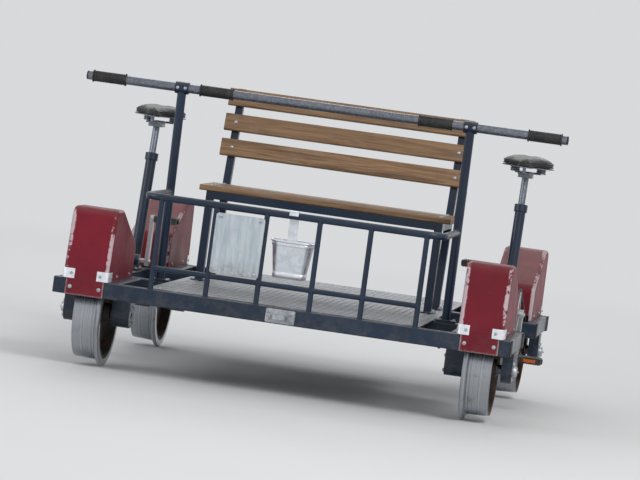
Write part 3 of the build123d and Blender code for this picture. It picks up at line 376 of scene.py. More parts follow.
class Shape:
    """Solids gathered into one mesh piece."""

    def __init__(self):
        self.mesh = bmesh.new()

    def rings(self, loops, closed=False):
        """Skin over loops of points that have equal counts, capped or closed from last to first."""
        rows = [[self.mesh.verts.new(point) for point in loop] for loop in loops]
        count = len(rows[0])
        if closed:
            rows.append(rows[0])
        for lower, upper in zip(rows, rows[1:]):
            for i in range(count):
                j = (i + 1) % count
                self.mesh.faces.new((lower[i], lower[j], upper[j], upper[i]))
        if not closed:
            self.mesh.faces.new(rows[0][::-1])
            self.mesh.faces.new(rows[-1])

    def turned(self, profile, place, axis, segments=20, twist=0.0):
        """Solid turned about the axis: profile holds (height, radius) pairs."""
        matrix = Matrix.Translation(place) @ Vector(axis).to_track_quat("Z", "Y").to_matrix().to_4x4()
        angles = [twist + 2 * pi * i / segments for i in range(segments)]
        self.rings([
            [matrix @ Vector((radius * cos(a), radius * sin(a), height)) for a in angles]
            for height, radius in profile
        ])

    def block(self, low, high, round_by=0.002):
        """Box with its edges cut at 45 degrees."""
        x0, y0, z0 = low
        x1, y1, z1 = high
        r = min(round_by, *(0.45 * (b - a) for a, b in zip(low, high)))

        def loop(shrink, height):
            a0, a1, b0, b1 = x0 + shrink, x1 - shrink, y0 + shrink, y1 - shrink
            return [
                (a0 + r, b0, height), (a1 - r, b0, height), (a1, b0 + r, height), (a1, b1 - r, height),
                (a1 - r, b1, height), (a0 + r, b1, height), (a0, b1 - r, height), (a0, b0 + r, height),
            ]
        self.rings([loop(r, z0), loop(0, z0 + r), loop(0, z1 - r), loop(r, z1)])

    def tube(self, points, radius, segments=8, wobble=0.0):
        """Rod along a line of points. Wobble ripples its radius."""
        points = [Vector(p) for p in points]
        loops = []
        side = None
        for i, point in enumerate(points):
            ahead = (points[min(i + 1, len(points) - 1)] - points[max(i - 1, 0)]).normalized()
            side = ahead.orthogonal() if side is None else side - ahead * side.dot(ahead)
            side = side.normalized()
            up = ahead.cross(side)
            r = radius * (1 + wobble * (noise.noise(point * 260) + 0.7 * sin(i * 2.1)))
            loops.append([
                point + side * (r * cos(2 * pi * k / segments)) + up * (r * sin(2 * pi * k / segments))
                for k in range(segments)
            ])
        self.rings(loops)

    def weld(self, points, radius):
        """Rippled bead of weld along a line of points."""
        self.tube(points, radius, 6, 0.25)

    def bolt(self, place, axis, size=0.008, washer=True):
        """Hexagon head on a washer. Size is the thread's diameter."""
        lift = 0.18 * size if washer else 0.0
        if washer:
            rim = 1.25 * size
            self.turned([(-0.0003, rim), (0.7 * lift, rim), (lift, 1.15 * size)], place, axis, 18)
        head = 0.65 * size
        twist = 97.0 * (place[0] + 2 * place[1] + 3 * place[2])
        self.turned(
            [(lift, 0.9 * size), (lift + 0.8 * head, 0.95 * size), (lift + head, 0.78 * size)],
            place, axis, 6, twist,
        )

    def screw(self, place, axis, size):
        """Round head of a coach bolt."""
        dome = [(0.2, 1.0), (0.42, 0.8), (0.55, 0.45), (0.6, 0.1)]
        profile = [(-0.0003, size), *[(height * size, radius * size) for height, radius in dome]]
        self.turned(profile, place, axis, 16)

    def piece(self, name, slot, body="chassis", material=None, angle=35, bevel=0.0):
        """The finished piece. It takes the slot's finish, unless a material is given."""
        mesh = bpy.data.meshes.new(name)
        bmesh.ops.recalc_face_normals(self.mesh, faces=self.mesh.faces)
        self.mesh.to_mesh(mesh)
        self.mesh.free()
        mesh.shade_smooth()
        mesh.set_sharp_from_angle(angle=radians(angle))
        made = linked(name, mesh)
        mesh.materials.append(material or finishes[slot])
        if bevel:
            cut = made.modifiers.new("edges", "BEVEL")
            cut.width = bevel
            cut.segments = 2
            cut.limit_method = "ANGLE"
        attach(made, body)
        return made


def run(start, end, step=0.0035):
    """Evenly spaced points from start to end."""
    start, end = Vector(start), Vector(end)
    count = max(2, int((end - start).length / step))
    return [start.lerp(end, i / count) for i in range(count + 1)]


# Chequered floor
def lozenges(name, node, pitch=0.026, margin=0.02):
    """Raised bars of tread plate over a floor node, turned one way and then the other."""
    low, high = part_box(node)
    shape = Shape()
    rows = int((high.y - low.y - margin) / pitch)
    columns = int((high.x - low.x - margin) / pitch)
    outline = (1, 0), (0.5, 0.8), (-0.5, 0.8), (-1, 0), (-0.5, -0.8), (0.5, -0.8)
    foot, top = (0.0105, 0.0034, -0.0002), (0.0085, 0.0018, 0.0013)
    for row in range(rows):
        for column in range(columns):
            x = (low.x + high.x) / 2 + (column - (columns - 1) / 2) * pitch
            y = (low.y + high.y) / 2 + (row - (rows - 1) / 2) * pitch
            angle = radians(45 if (row + column) % 2 else -45)
            along = Vector((cos(angle), sin(angle), 0))
            across = Vector((-sin(angle), cos(angle), 0))
            shape.rings([
                [Vector((x, y, high.z + rise)) + along * a * length + across * b * width for a, b in outline]
                for length, width, rise in (foot, top)
            ])
    return shape.piece(name, "floor_metal", angle=60)


lozenges("floor_lozenges", "floor_plate")
lozenges("deck_lozenges", "luggage_deck")

# Bolts and screws
bearing_faces, bearing_bolts = ((0.605, -1), (0.860, 1)), (-0.028, 0.028)
guard_bolt_x, guard_bolt_z = (-0.055, 0.055), 0.305
bracket_z, bracket_face_y, bracket_side_x, bracket_side_y = 0.355, 0.885, 0.0886, 0.842
guard_flanks, flank_bolt_y, flank_bolt_z = ((0.831, 1), (0.659, -1)), (0.72, 0.47), 0.352
seat_top = 0.715
seat_slat_y = [-0.029 + 0.0735 * i for i in range(5)]
back_tilt = radians(14)
back_up = Vector((0, sin(back_tilt), cos(back_tilt)))
back_front = Vector((0, -cos(back_tilt), sin(back_tilt)))
back_foot, slat_out = Vector((0, 0.315, 0.678)), 0.037
back_slat_faces = [back_foot + back_up * rise + back_front * slat_out for rise in (0.39, 0.286, 0.182)]
bench_bolt_x, bench_bolt_y = 0.475, (-0.078, -0.012, 0.206, 0.274)
clamp_bolt_x, clamp_face_y = (-0.015, 0.015), bar_y - 0.0228
mast_bolt_x, mast_bolt_y = (-0.017, 0.017), (0.045, 0.135)
post_bolt_x, post_bolt_y = (-0.029, 0.029), (-0.02, 0.02)
floor_screw_x, floor_screw_y = 0.47, (-0.83, -0.62, -0.46, -0.2, 0.02, 0.2, 0.36, 0.6, 0.85)
board_x, board_face_y, board_bolt_x, board_bolt_z = -0.195, -0.8773, 0.075, (0.4425, 0.6425)
tow_face_y, tow_bolt_x, tow_bolt_z = 0.888, 0.044, (0.291, 0.319)
bolts = Shape()
for s in sides.values():
    for e in ends.values():
        for y in bearing_bolts:
            for z in bearing_bolts:
                for x, way in bearing_faces:
                    bolts.bolt((s * x, e * half_base + y, axle_z + z), (s * way, 0, 0), 0.007)
        for x in guard_bolt_x:
            bolts.bolt((s * unit_x + x, e * guard_face_y, guard_bolt_z), (0, e, 0), 0.006)
            bolts.bolt((s * unit_x + x, e * bracket_face_y, bracket_z), (0, e, 0), 0.005)
        for way in (-1, 1):
            place = (s * unit_x + way * bracket_side_x, e * bracket_side_y, bracket_z)
            bolts.bolt(place, (way, 0, 0), 0.005)
        for x, way in guard_flanks:
            for y in flank_bolt_y:
                bolts.bolt((s * x, e * y, flank_bolt_z), (s * way, 0, 0), 0.006)
    for y in seat_slat_y:
        bolts.screw((s * bench_x, y, seat_top), (0, 0, 1), 0.007)
    for face in back_slat_faces:
        bolts.screw((s * bench_x, *face.yz), back_front, 0.007)
    for y in bench_bolt_y:
        bolts.bolt((s * bench_bolt_x, y, bench_foot_z), (0, 0, 1), 0.006)
    for x in clamp_bolt_x:
        bolts.bolt((s * post_x + x, clamp_face_y, bar_z), (0, -1, 0), 0.005)
    for x in mast_bolt_x:
        for y in mast_bolt_y:
            bolts.bolt((s * unit_x + x, y, post_plate_z), (0, 0, 1), 0.006)
    for x in post_bolt_x:
        for y in post_bolt_y:
            bolts.bolt((s * post_x + x, post_foot_y + y, post_plate_z), (0, 0, 1), 0.006)
    for y in floor_screw_y:
        bolts.screw((s * floor_screw_x, y, floor_z), (0, 0, 1), 0.006)
for s in (-1, 1):
    for z in board_bolt_z:
        bolts.bolt((board_x + s * board_bolt_x, board_face_y, z), (0, -1, 0), 0.0055)
    for z in tow_bolt_z:
        for e in ends.values():
            bolts.bolt((s * tow_bolt_x, e * tow_face_y, z), (0, e, 0), 0.006)
bolts.piece("frame_bolts", "galvanised_steel")

# Plastic caps on the ends of the cross beams
cap_inner_x, cap_outer_x, cap_inset = 0.8597, 0.8645, 0.0005
caps = Shape()
for y in cross_beam_y:
    for s in sides.values():
        low_x, high_x = sorted((s * cap_inner_x, s * cap_outer_x))
        caps.block(
            (low_x, y - beam_half + cap_inset, beam_low + cap_inset),
            (high_x, y + beam_half - cap_inset, beam_high - cap_inset), 0.0035,
        )
caps.piece("beam_caps", "grip_rubber")

# Bright corner brackets that hold each guard on its end beam
bracket_reach, bend_r, front_arm, side_arm = 0.086, 0.014, 0.030, 0.045
quarter = [pi / 2 * k / 6 for k in range(7)]
for side, s in sides.items():
    for end, e in ends.items():
        brackets = Shape()
        foot, top = Vector((0, 0, 0.3365)), Vector((0, -e * 0.0018, 0.3735))
        for way in (-1, 1):
            corner_x, corner_y = s * unit_x + way * bracket_reach, e * guard_face_y
            bend = [
                Vector((corner_x - way * bend_r * (1 - sin(a)), corner_y - e * bend_r * (1 - cos(a)), 0))
                for a in quarter
            ]
            to_front, to_side = Vector((way * front_arm, 0, 0)), Vector((0, e * side_arm, 0))
            line = [bend[0] - to_front, *bend, bend[-1] - to_side]
            turning = [Vector((way * sin(a), e * cos(a), 0)) for a in quarter]
            outward = [Vector((0, e, 0)), *turning, Vector((way, 0, 0))]
            brackets.rings([
                [p - o * 0.0004 + foot, p + o * 0.0030 + foot, p + o * 0.0030 + top, p - o * 0.0010 + top]
                for p, o in zip(line, outward)
            ])
        brackets.piece(f"guard_clips_{end}_{side}", "tub_metal", material=bright, bevel=0.0006)

# Welds where the lengthwise beams meet the cross beams
weld_r, weld_gap, weld_lap = 0.0028, 0.006, 0.001
stringer, crank_beam, fork_beams = (0.45, 0.49), (0.72, 0.77), [(0.625, 0.675), (0.82, 0.86)]
welds = Shape()
for s in sides.values():
    for y in cross_beam_y:
        for face in (y - beam_half, y + beam_half):
            if abs(face) > 0.87:
                continue
            in_middle = -0.31 <= face <= 0.27
            for near, far in [stringer] + ([crank_beam] if in_middle else fork_beams):
                for z in (beam_low + weld_lap, beam_high - weld_lap):
                    welds.weld(run((s * (near + weld_gap), face, z), (s * (far - weld_gap), face, z)), weld_r)
                for x in (near, far):
                    upright = run((s * x, face, beam_low + weld_gap), (s * x, face, beam_high - weld_gap))
                    welds.weld(upright, weld_r)
welds.piece("frame_welds", "frame_paint", angle=80)

# Beads where the tubes of the railing, the posts, the masts and the bench meet
rail_y, rail_z, rail_r = -0.8605, 0.680, 0.0135
upright_y, upright_r, lower_rail_z, last_upright = -0.864, 0.010, 0.415, 0.5
mast_foot_y, mast_r, sleeve_r = 0.091, 0.021, 0.023
front_leg_y, rear_leg_y, back_tube_y, seat_tube_z = -0.045, 0.2442, 0.285, 0.678
leg_half, rear_leg_half = 0.015, 0.0153
under_seat = (-1, 0.012), (-1, -leg_half), (1, -leg_half), (1, 0.012)
turn = [2 * pi * k / 24 for k in range(24)]
beads = Shape()


def ring_bead(points, radius=0.0020):
    beads.weld(points + points[:1], radius)


def corner_bead(corners):
    """Bead along the straight lines between corners."""
    for start, end in zip(corners, corners[1:]):
        beads.weld(run(start, end), 0.0022)


def leg_bead(x, y, half_y):
    """Bead round the foot of a bench leg."""
    around = (-1, -1), (1, -1), (1, 1), (-1, 1), (-1, -1)
    corner_bead([(x + a * leg_half, y + b * half_y, bench_foot_z) for a, b in around])


def depth_in(radius, offset):
    """How far a round tube's surface is from its middle plane, at an offset from its axis."""
    return max(radius ** 2 - offset ** 2, 0) ** 0.5


for x in (-last_upright, -0.292, -0.1, 0.1, 0.292, last_upright):
    circle = [(x + upright_r * cos(a), upright_y + upright_r * sin(a)) for a in turn]
    ring_bead([(px, py, beam_high + 0.0005) for px, py in circle])
    ring_bead([(px, py, rail_z - depth_in(rail_r, py - rail_y)) for px, py in circle])
    for way in (-1, 1):
        if way * x < last_upright:
            crossing = [(way * upright_r * abs(sin(a)), upright_r * cos(a), upright_r * sin(a)) for a in turn]
            ring_bead([(x + dx, upright_y + dy, lower_rail_z + dz) for dx, dy, dz in crossing])
post_down = Vector((0, -post_slope, -1)).normalized()
post_across = Vector((0, -post_down.z, post_down.y))
for s in sides.values():
    rail_end = []
    for a in turn:
        offset, height = rail_r * cos(a), rail_z + rail_r * sin(a)
        post_y = post_foot_y + post_slope * (height - beam_high)
        rail_end.append((s * post_x + offset, post_y - depth_in(post_r, offset), height))
    ring_bead(rail_end)
    for x, y, r in ((post_x, post_foot_y, post_r), (unit_x, mast_foot_y, mast_r)):
        ring_bead([(s * x + r * cos(a), y + r * sin(a), post_plate_z) for a in turn], 0.0024)
    ring_bead([
        Vector((s * post_x + post_r * cos(a), bar_y, bar_z)) + post_down * depth_in(sleeve_r, post_r * sin(a))
        + post_across * post_r * sin(a)
        for a in turn
    ])
    leg_bead(s * bench_x, front_leg_y, leg_half)
    leg_bead(s * bench_x, rear_leg_y, rear_leg_half)
    face = s * (bench_x - leg_half)
    for y in (front_leg_y, back_tube_y):
        corner_bead([(face, y + b * leg_half, seat_tube_z + height) for b, height in under_seat])
beads.piece("tube_welds", "frame_paint", angle=80)

# Axle caps on the outer bearings, and bolts round the wheels' hubs
axle_end_x = 0.8598
cap_profile = [(0, 0.0235), (0.004, 0.0235), (0.005, 0.021), (0.013, 0.0195), (0.016, 0.0165), (0.017, 0.006)]
nipple_profile = [(0.016, 0.003), (0.021, 0.003), (0.0225, 0.0018)]
inner_hub_face, outer_hub_face, hub_bolt_r = (0.683, -1), (0.799, 1), 0.0275
for side, s in sides.items():
    for end, e in ends.items():
        hub = Shape()
        place = (s * axle_end_x, e * half_base, axle_z)
        hub.turned(cap_profile, place, (s, 0, 0), 28)
        hub.turned(nipple_profile, place, (s, 0, 0), 10)
        hub.piece(f"axle_cap_{end}_{side}", "galvanised_steel")
        studs = Shape()
        for x, way in [inner_hub_face] + ([outer_hub_face] if end == "front" else []):
            for k in range(5):
                a = 2 * pi * k / 5 + 0.3
                place = (s * x, e * half_base + hub_bolt_r * cos(a), axle_z + hub_bolt_r * sin(a))
                studs.bolt(place, (s * way, 0, 0), 0.0045, False)
        studs.piece(f"hub_bolts_{end}_{side}", "galvanised_steel", f"{end}_{side}_wheel")

# Crank bolts and nuts, and the pedals' ribs, end caps and reflectors
ring_bolt_x, ring_bolt_r = 0.8068, 0.083
ring_bolt = [(-0.0003, 0.0062), (0.0016, 0.0062), (0.0022, 0.0052), (0.0022, 0.0030), (0.0012, 0.0026)]
spindle_washer = [(-0.0003, 0.0135), (0.0015, 0.0135), (0.0022, 0.012), (0.0026, 0.0102)]
spindle_nut = [(0.0022, 0.0078), (0.0055, 0.0078), (0.0065, 0.0062)]
pedal_cap = [(-0.0003, 0.0105), (0.0035, 0.0105), (0.0055, 0.009), (0.006, 0.003)]
tread_y, rib_pitch, rib_half_x, rib_half_y = 0.037, 0.0088, 0.0017, 0.0068
rib_low, rib_high = 0.0117, 0.0139
for side, s in sides.items():
    fittings = Shape()
    for k in range(5):
        a = 2 * pi * k / 5
        place = (s * ring_bolt_x, crank_y + ring_bolt_r * cos(a), crank_z + ring_bolt_r * sin(a))
        fittings.turned(ring_bolt, place, (s, 0, 0), 16)
    for x, way in ((unit_x + 0.0835, 1), (unit_x - 0.0835, -1)):
        place = (s * x, crank_y, crank_z)
        fittings.turned(spindle_washer, place, (s * way, 0, 0), 24)
        fittings.turned(spindle_nut, place, (s * way, 0, 0), 6)
    fittings.piece(f"crank_fittings_{side}", "crank_alloy", f"{side}_crank")
    for name, x, z, way in (("inner", 0.6115, 0.555, -1), ("outer", 0.8785, 0.215, 1)):
        ribs, reflectors = Shape(), Shape()
        for y in (-tread_y, tread_y):
            for face in (-1, 1):
                low, high = sorted((z + face * rib_low, z + face * rib_high))
                for k in range(9):
                    rib_x, rib_y = s * x + (k - 4) * rib_pitch, crank_y + y
                    ribs.block(
                        (rib_x - rib_half_x, rib_y - rib_half_y, low),
                        (rib_x + rib_half_x, rib_y + rib_half_y, high), 0.0006,
                    )
            facing = 1 if y > 0 else -1
            outer_y = crank_y + y + facing * 0.008
            low, high = sorted((outer_y - facing * 0.0003, outer_y + facing * 0.0028))
            reflectors.block((s * x - 0.024, low, z - 0.0072), (s * x + 0.024, high, z + 0.0072), 0.0012)
        ribs.turned(pedal_cap, (s * (x + way * 0.044), crank_y, z), (s * way, 0, 0), 20)
        body = f"{side}_{name}_pedal"
        ribs.piece(f"pedal_ribs_{name}_{side}", "pedal_plastic", body)
        reflectors.piece(f"pedal_reflectors_{name}_{side}", "pedal_plastic", body, amber)

# Roller chains round the chainrings and sprockets
drive_span = hypot(half_base - crank_y, crank_z - axle_z)
spread = atan2(chainring_r - sprocket_r, drive_span)
run_tilt = atan2(axle_z - crank_z, half_base - crank_y)
run_length = drive_span * cos(spread)
small_wrap = sprocket_r * (pi - 2 * spread)
loop_length = 2 * run_length + small_wrap + chainring_r * (pi + 2 * spread)
link_count = 2 * round(loop_length / chain_pitch / 2)
chainring_centre, sprocket_centre = (crank_y, crank_z), (half_base, axle_z)
tooth_rise, roller_r, roller_gap = 0.0035, 0.0038, 0.0005
link_end_r, link_waist, link_thickness = 0.0043, 0.0031, 0.001
inner_plate_x, outer_plate_x = 0.0016, 0.0027
rivet_profile = [(0.0036, 0.0021), (0.0041, 0.0021), (0.0044, 0.0013)]
roller_profile = [(-0.0016, roller_r), (0.0016, roller_r)]


def chain_point(distance):
    """(y, z) of the chain's pitch line: top run, sprocket, bottom run, chainring."""
    upper, lower = run_tilt + pi / 2 - spread, run_tilt - pi / 2 + spread
    centre, radius, angle, along = chainring_centre, chainring_r, upper, distance
    if distance >= 2 * run_length + small_wrap:
        angle, along = lower - (distance - 2 * run_length - small_wrap) / chainring_r, 0
    elif distance >= run_length + small_wrap:
        centre, radius, angle, along = sprocket_centre, sprocket_r, lower, distance - run_length - small_wrap
    elif distance >= run_length:
        centre, radius, along = sprocket_centre, sprocket_r, 0
        angle = upper - (distance - run_length) / sprocket_r
    y = centre[0] + radius * cos(angle) + along * sin(angle)
    return y, centre[1] + radius * sin(angle) - along * cos(angle)


def clear_of_teeth(y, z):
    """Whether a roller here lets both toothed wheels turn past it."""
    wheels = (chainring_centre, chainring_r), (sprocket_centre, sprocket_r)
    room = tooth_rise + roller_r + roller_gap
    return all(hypot(y - centre[0], z - centre[1]) > r + room for centre, r in wheels)


pins = [chain_point(i * loop_length / link_count) for i in range(link_count)]
chain = Shape()
for s in sides.values():
    for i, (y0, z0) in enumerate(pins):
        y1, z1 = pins[(i + 1) % link_count]
        ahead = Vector((0, y1 - y0, z1 - z0)).normalized()
        across = Vector((0, -ahead.z, ahead.y))
        first, last = Vector((0, y0, z0)), Vector((0, y1, z1))
        outline = []
        for pin, way in ((last, 1), (first, -1)):
            for k in range(-2, 3):
                a = k * pi / 5
                end = pin + ahead * (way * link_end_r * cos(a))
                outline.append(end + across * (way * link_end_r * sin(a)))
            outline.append((first + last) / 2 + across * (way * link_waist))
        near = outer_plate_x if i % 2 else inner_plate_x
        for way in (-1, 1):
            faces = [Vector((s * chain_x + way * x, 0, 0)) for x in (near, near + link_thickness)]
            chain.rings([[point + x for point in outline] for x in faces])
            chain.turned(rivet_profile, (s * chain_x, y0, z0), (way, 0, 0), 8)
        if clear_of_teeth(y0, z0):
            chain.turned(roller_profile, (s * chain_x, y0, z0), (1, 0, 0), 12)
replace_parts(chain.piece("roller_chains", "chain_steel"), "chains")


# Ribbed grips, and the rubber caps of the bar's ends
def grip_ribs(first, pitch, count, corners, root, top):
    """Profile of a grip's ribs. Corners are how far each rib's rise, fall and end are from its start."""
    rise, fall, end = corners
    starts = [first + k * pitch for k in range(count)]
    ribs = [[(x, root), (x + rise, top), (x + fall, top), (x + end, root)] for x in starts]
    return [corner for rib in ribs for corner in rib]


grip_x, grip_reach, bar_end_x = (0.425, 0.845), 0.065, 0.93
grip_profile = [
    (0, 0.0232), (0.0025, 0.0238), (0.0045, 0.0232), (0.0055, 0.0202),
    *grip_ribs(0.009, 0.006, 19, (0.001, 0.004, 0.005), 0.0199, 0.0209),
    (0.1245, 0.0202), (0.1255, 0.0232), (0.1275, 0.0238), (0.130, 0.0232),
]
bar_cap_profile = [(-0.002, 0.0152), (0.0005, 0.0168), (0.002, 0.0168), (0.0042, 0.0145), (0.005, 0.008)]
grips = Shape()
for s in sides.values():
    for x in grip_x:
        grips.turned(grip_profile, (s * x - grip_reach, bar_y, bar_z), (1, 0, 0), 28)
    grips.turned(bar_cap_profile, (s * bar_end_x, bar_y, bar_z), (s, 0, 0), 28)
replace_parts(grips.piece("ribbed_grips", "grip_rubber"), "handlebar_grips")

# Brake lever: its ribbed grip and the bolts of its pivot, rod and shaft arm
lever_pivot, lever_reach, lever_tail = (0.535, -0.2, 0.305), 0.48, 0.072
lever_tilt = radians(9)
lever_up = Vector((0, sin(lever_tilt), cos(lever_tilt)))
lever_profile = [
    (-0.056, 0.0158), (-0.054, 0.0175),
    *grip_ribs(-0.050, 0.0078, 13, (0.0012, 0.0055, 0.0067), 0.0168, 0.0178),
    (0.054, 0.0175), (0.057, 0.014), (0.0575, 0.005),
]
lever_grip = Shape()
lever_grip.turned(lever_profile, Vector(lever_pivot) + lever_up * lever_reach, lever_up, 24)
lever_grip.piece("brake_lever_grip", "grip_rubber")
pivot_bolt_x, rod_bolt_x, shaft_arm = 0.545, 0.540, (0.372, 0.202)
foot = Vector(lever_pivot) - lever_up * lever_tail
brake_bolts = Shape()
brake_bolts.bolt((pivot_bolt_x, *lever_pivot[1:]), (1, 0, 0), 0.009)
brake_bolts.bolt((rod_bolt_x, *shaft_arm), (1, 0, 0), 0.007)
brake_bolts.bolt((rod_bolt_x, *foot.yz), (1, 0, 0), 0.007)
brake_bolts.piece("brake_bolts", "galvanised_steel")

# Tub: a rolled rim and two bands pressed into its wall
tub_y, tub_top, tub_rim_z = -0.7867, 0.584, 0.581
tub_width, tub_depth, tub_corner, tub_taper = 0.155, 0.116, 0.034, radians(8)
rim_width, rim_depth, rim_corner, rim_r = 0.162, 0.123, 0.037, 0.0032


def rounded_loop(z, width, depth, corner, count=8):
    """Points round the tub's edge at a height: a rectangle with round corners."""
    points = []
    for cx, cy, start in ((1, 1, 0), (-1, 1, 90), (-1, -1, 180), (1, -1, 270)):
        for k in range(count + 1):
            a = radians(start + 90 * k / count)
            x = cx * (width / 2 - corner) + corner * cos(a)
            y = tub_y + cy * (depth / 2 - corner) + corner * sin(a)
            points.append(Vector((x, y, z)))
    return points


rim = Shape()
rim_line = rounded_loop(tub_rim_z, rim_width, rim_depth, rim_corner)
rim.tube(rim_line + rim_line[:1], rim_r, 10)


def tub_band(low, high, proud, sunk=0.0012, ease=0.0015):
    """Flat band pressed proud of the tub's tapered wall, with its edges eased."""
    loops = []
    for z, out in ((low, -sunk), (low + ease, proud), (high - ease, proud), (high, -sunk)):
        shrink = 2 * (tub_top - z) * tan(tub_taper)
        corner = max(tub_corner - shrink / 2, 0.010) + out
        loops.append(rounded_loop(z, tub_width - shrink + 2 * out, tub_depth - shrink + 2 * out, corner))
    rim.rings(loops, closed=True)


tub_band(0.4425, 0.466, 0.0022)
tub_band(0.562, 0.577, 0.0014)
rim.piece("tub_rim", "tub_metal", material=bright, angle=80)

# Saddles: a padded cover, its piping, and the pan with its springs
saddle_nose, saddle_tail = 0.037, 0.303
pan_z, pad_low, pad_high = 0.952, 0.951, 0.9985
nose_half, tail_spread = 0.030, 0.080
pad_cap = 0.006


def smooth(value, low, high):
    t = min(max((value - low) / (high - low), 0.0), 1.0)
    return t * t * (3 - 2 * t)


def half_width(t):
    """Half the saddle's width at a share of its length from the nose."""
    wide = nose_half + tail_spread * smooth(t, 0.2, 0.74)
    nose = (max(0.0, 1 - (1 - min(t / 0.13, 1)) ** 2)) ** 0.5
    tail = (max(0.0, 1 - max((t - 0.8) / 0.2, 0) ** 2.4)) ** 0.5
    return max(wide * min(nose, tail), 0.003)


def evaluated(made):
    """New mesh of an object with its modifiers applied."""
    graph = bpy.context.evaluated_depsgraph_get()
    graph.update()
    return bpy.data.meshes.new_from_object(made.evaluated_get(graph))


def swell(pad):
    """Swells a pad by cloth simulation with pressure, each point by pad_cap at most."""
    rest = [v.co.copy() for v in pad.data.vertices]
    cloth = pad.modifiers.new("cloth", "CLOTH")
    cloth.settings.use_pressure = True
    cloth.settings.uniform_pressure_force = 4
    cloth.settings.effector_weights.gravity = 0
    cloth.settings.tension_stiffness = 20
    cloth.point_cache.frame_end = 20
    for step in range(1, 21):
        bpy.context.scene.frame_set(step)
    swollen = evaluated(pad)
    pad.modifiers.clear()
    bpy.context.scene.frame_set(1)
    for v, start, moved in zip(pad.data.vertices, rest, swollen.vertices):
        shift = moved.co - start
        v.co = start + shift * min(1.0, pad_cap / max(shift.length, 1e-6))


def stuffed(side, x, stations=34, around=32):
    """Swollen saddle pad, flat on its pan, with a dip down the middle."""
    shape = Shape()
    loops = []
    middle = pan_z + 0.012
    for i in range(stations):
        t = i / (stations - 1)
        y = saddle_nose + (saddle_tail - saddle_nose) * t
        wide = 0.94 * half_width(t)
        top = 0.983 + 0.008 * smooth(t, 0.45, 0.95) - 0.004 * (1 - smooth(t, 0, 0.25))
        loop = []
        for k in range(around):
            a = 2 * pi * k / around
            up = sin(a)
            z = middle + (top - middle) * up ** 0.8 if up > 0 else middle - 0.0115 * (-up) ** 0.35
            loop.append(Vector((x + wide * cos(a), y, z)))
        loops.append(loop)
    shape.rings(loops)
    pad = shape.piece(f"saddle_pad_{side}", "saddle_vinyl", angle=80)
    remesh = pad.modifiers.new("remesh", "REMESH")
    remesh.mode = "VOXEL"
    remesh.voxel_size = 0.005
    pad.data = evaluated(pad)
    pad.modifiers.clear()
    swell(pad)
    dip_half, dip_depth = 0.016, 0.0055
    for v in pad.data.vertices:
        off = (v.co.x - x) / dip_half
        t = (v.co.y - saddle_nose) / (saddle_tail - saddle_nose)
        if v.co.z > pan_z + 0.018:
            v.co.z -= dip_depth * exp(-off * off) * smooth(t, 0.12, 0.4) * (1 - smooth(t, 0.86, 1.0))
        v.co.z = min(max(v.co.z, pad_low), pad_high)
    pad.data.shade_smooth()
    pad.data.materials.clear()
    pad.data.materials.append(finishes["saddle_vinyl"])
    smoother = pad.modifiers.new("smooth", "SMOOTH")
    smoother.factor, smoother.iterations = 0.5, 4
    pad.modifiers.new("subdivision", "SUBSURF").render_levels = 1
    return pad


def seam_line(pad, x, z, lift=-0.0004, count=96):
    """Closed line round a pad at a height, as far out as the pad reaches there."""
    centre = Vector((x, 0.19, z))
    reach = [0.0] * count
    for v in evaluated(pad).vertices:
        if abs(v.co.z - z) < 0.004:
            offset = v.co - centre
            k = int((atan2(offset.y, offset.x) % (2 * pi)) / (2 * pi) * count) % count
            reach[k] = max(reach[k], hypot(offset.x, offset.y))
    for _ in range(3):
        reach = [r or (reach[k - 1] + reach[(k + 1) % count]) / 2 for k, r in enumerate(reach)]
    for _ in range(2):
        reach = [(reach[k - 1] + 2 * reach[k] + reach[(k + 1) % count]) / 4 for k in range(count)]
    angles = [2 * pi * (k + 0.5) / count for k in range(count)]
    return [centre + Vector(((r + lift) * cos(a), (r + lift) * sin(a), 0)) for r, a in zip(reach, angles)]


spring_x, spring_y, spring_z, spring_r, coil_rise = 0.052, 0.267, 0.9275, 0.0175, 0.0195
coil_steps = 48
coil = [2 * pi * k / 16 for k in range(coil_steps + 1)]
for side, s in sides.items():
    x = s * unit_x
    pad = stuffed(side, x)
    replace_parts(pad, f"saddle_{side}")
    piping = Shape()
    for z, radius in ((0.957, 0.0021), (0.971, 0.0012)):
        line = seam_line(pad, x, z)
        piping.tube(line + line[:1], radius, 8)
    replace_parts(piping.piece(f"saddle_piping_{side}", "saddle_vinyl", angle=80), f"saddle_{side}")
    under = Shape()
    outline = [(0.93 * half_width(i / 24), saddle_nose + 0.266 * (i / 24)) for i in range(25)]
    pan = [Vector((x + wide, y, 0)) for wide, y in outline]
    pan += [Vector((x - wide, y, 0)) for wide, y in reversed(outline)]
    under.rings([[p + Vector((0, 0, z)) for p in pan] for z in (0.9485, 0.9525)])
    for way in (-1, 1):
        coil_x = x + way * spring_x
        under.tube([
            (coil_x + spring_r * cos(a), spring_y + spring_r * sin(a), spring_z + coil_rise * i / coil_steps)
            for i, a in enumerate(coil)
        ], 0.0024, 8)
    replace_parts(under.piece(f"saddle_springs_{side}", "bar_steel"), f"saddle_{side}")

# Studio floor and backdrop
floor_mesh = bmesh.new()
bmesh.ops.create_circle(floor_mesh, cap_ends=True, segments=96, radius=90)
floor_data = bpy.data.meshes.new("studio_floor")
floor_mesh.to_mesh(floor_data)
floor_mesh.free()
floor = linked("studio_floor", floor_data)


def background_rays(tree):
    """1 on rays that see the background directly, in metal or through glass, and 0 on rays that light."""
    rays = tree.nodes.new("ShaderNodeLightPath")
    total = rays.outputs["Is Camera Ray"]
    for kind in ("Is Glossy Ray", "Is Transmission Ray"):
        either = tree.nodes.new("ShaderNodeMath")
        either.operation = "MAXIMUM"
        tree.links.new(total, either.inputs[0])
        tree.links.new(rays.outputs[kind], either.inputs[1])
        total = either.outputs[0]
    return total


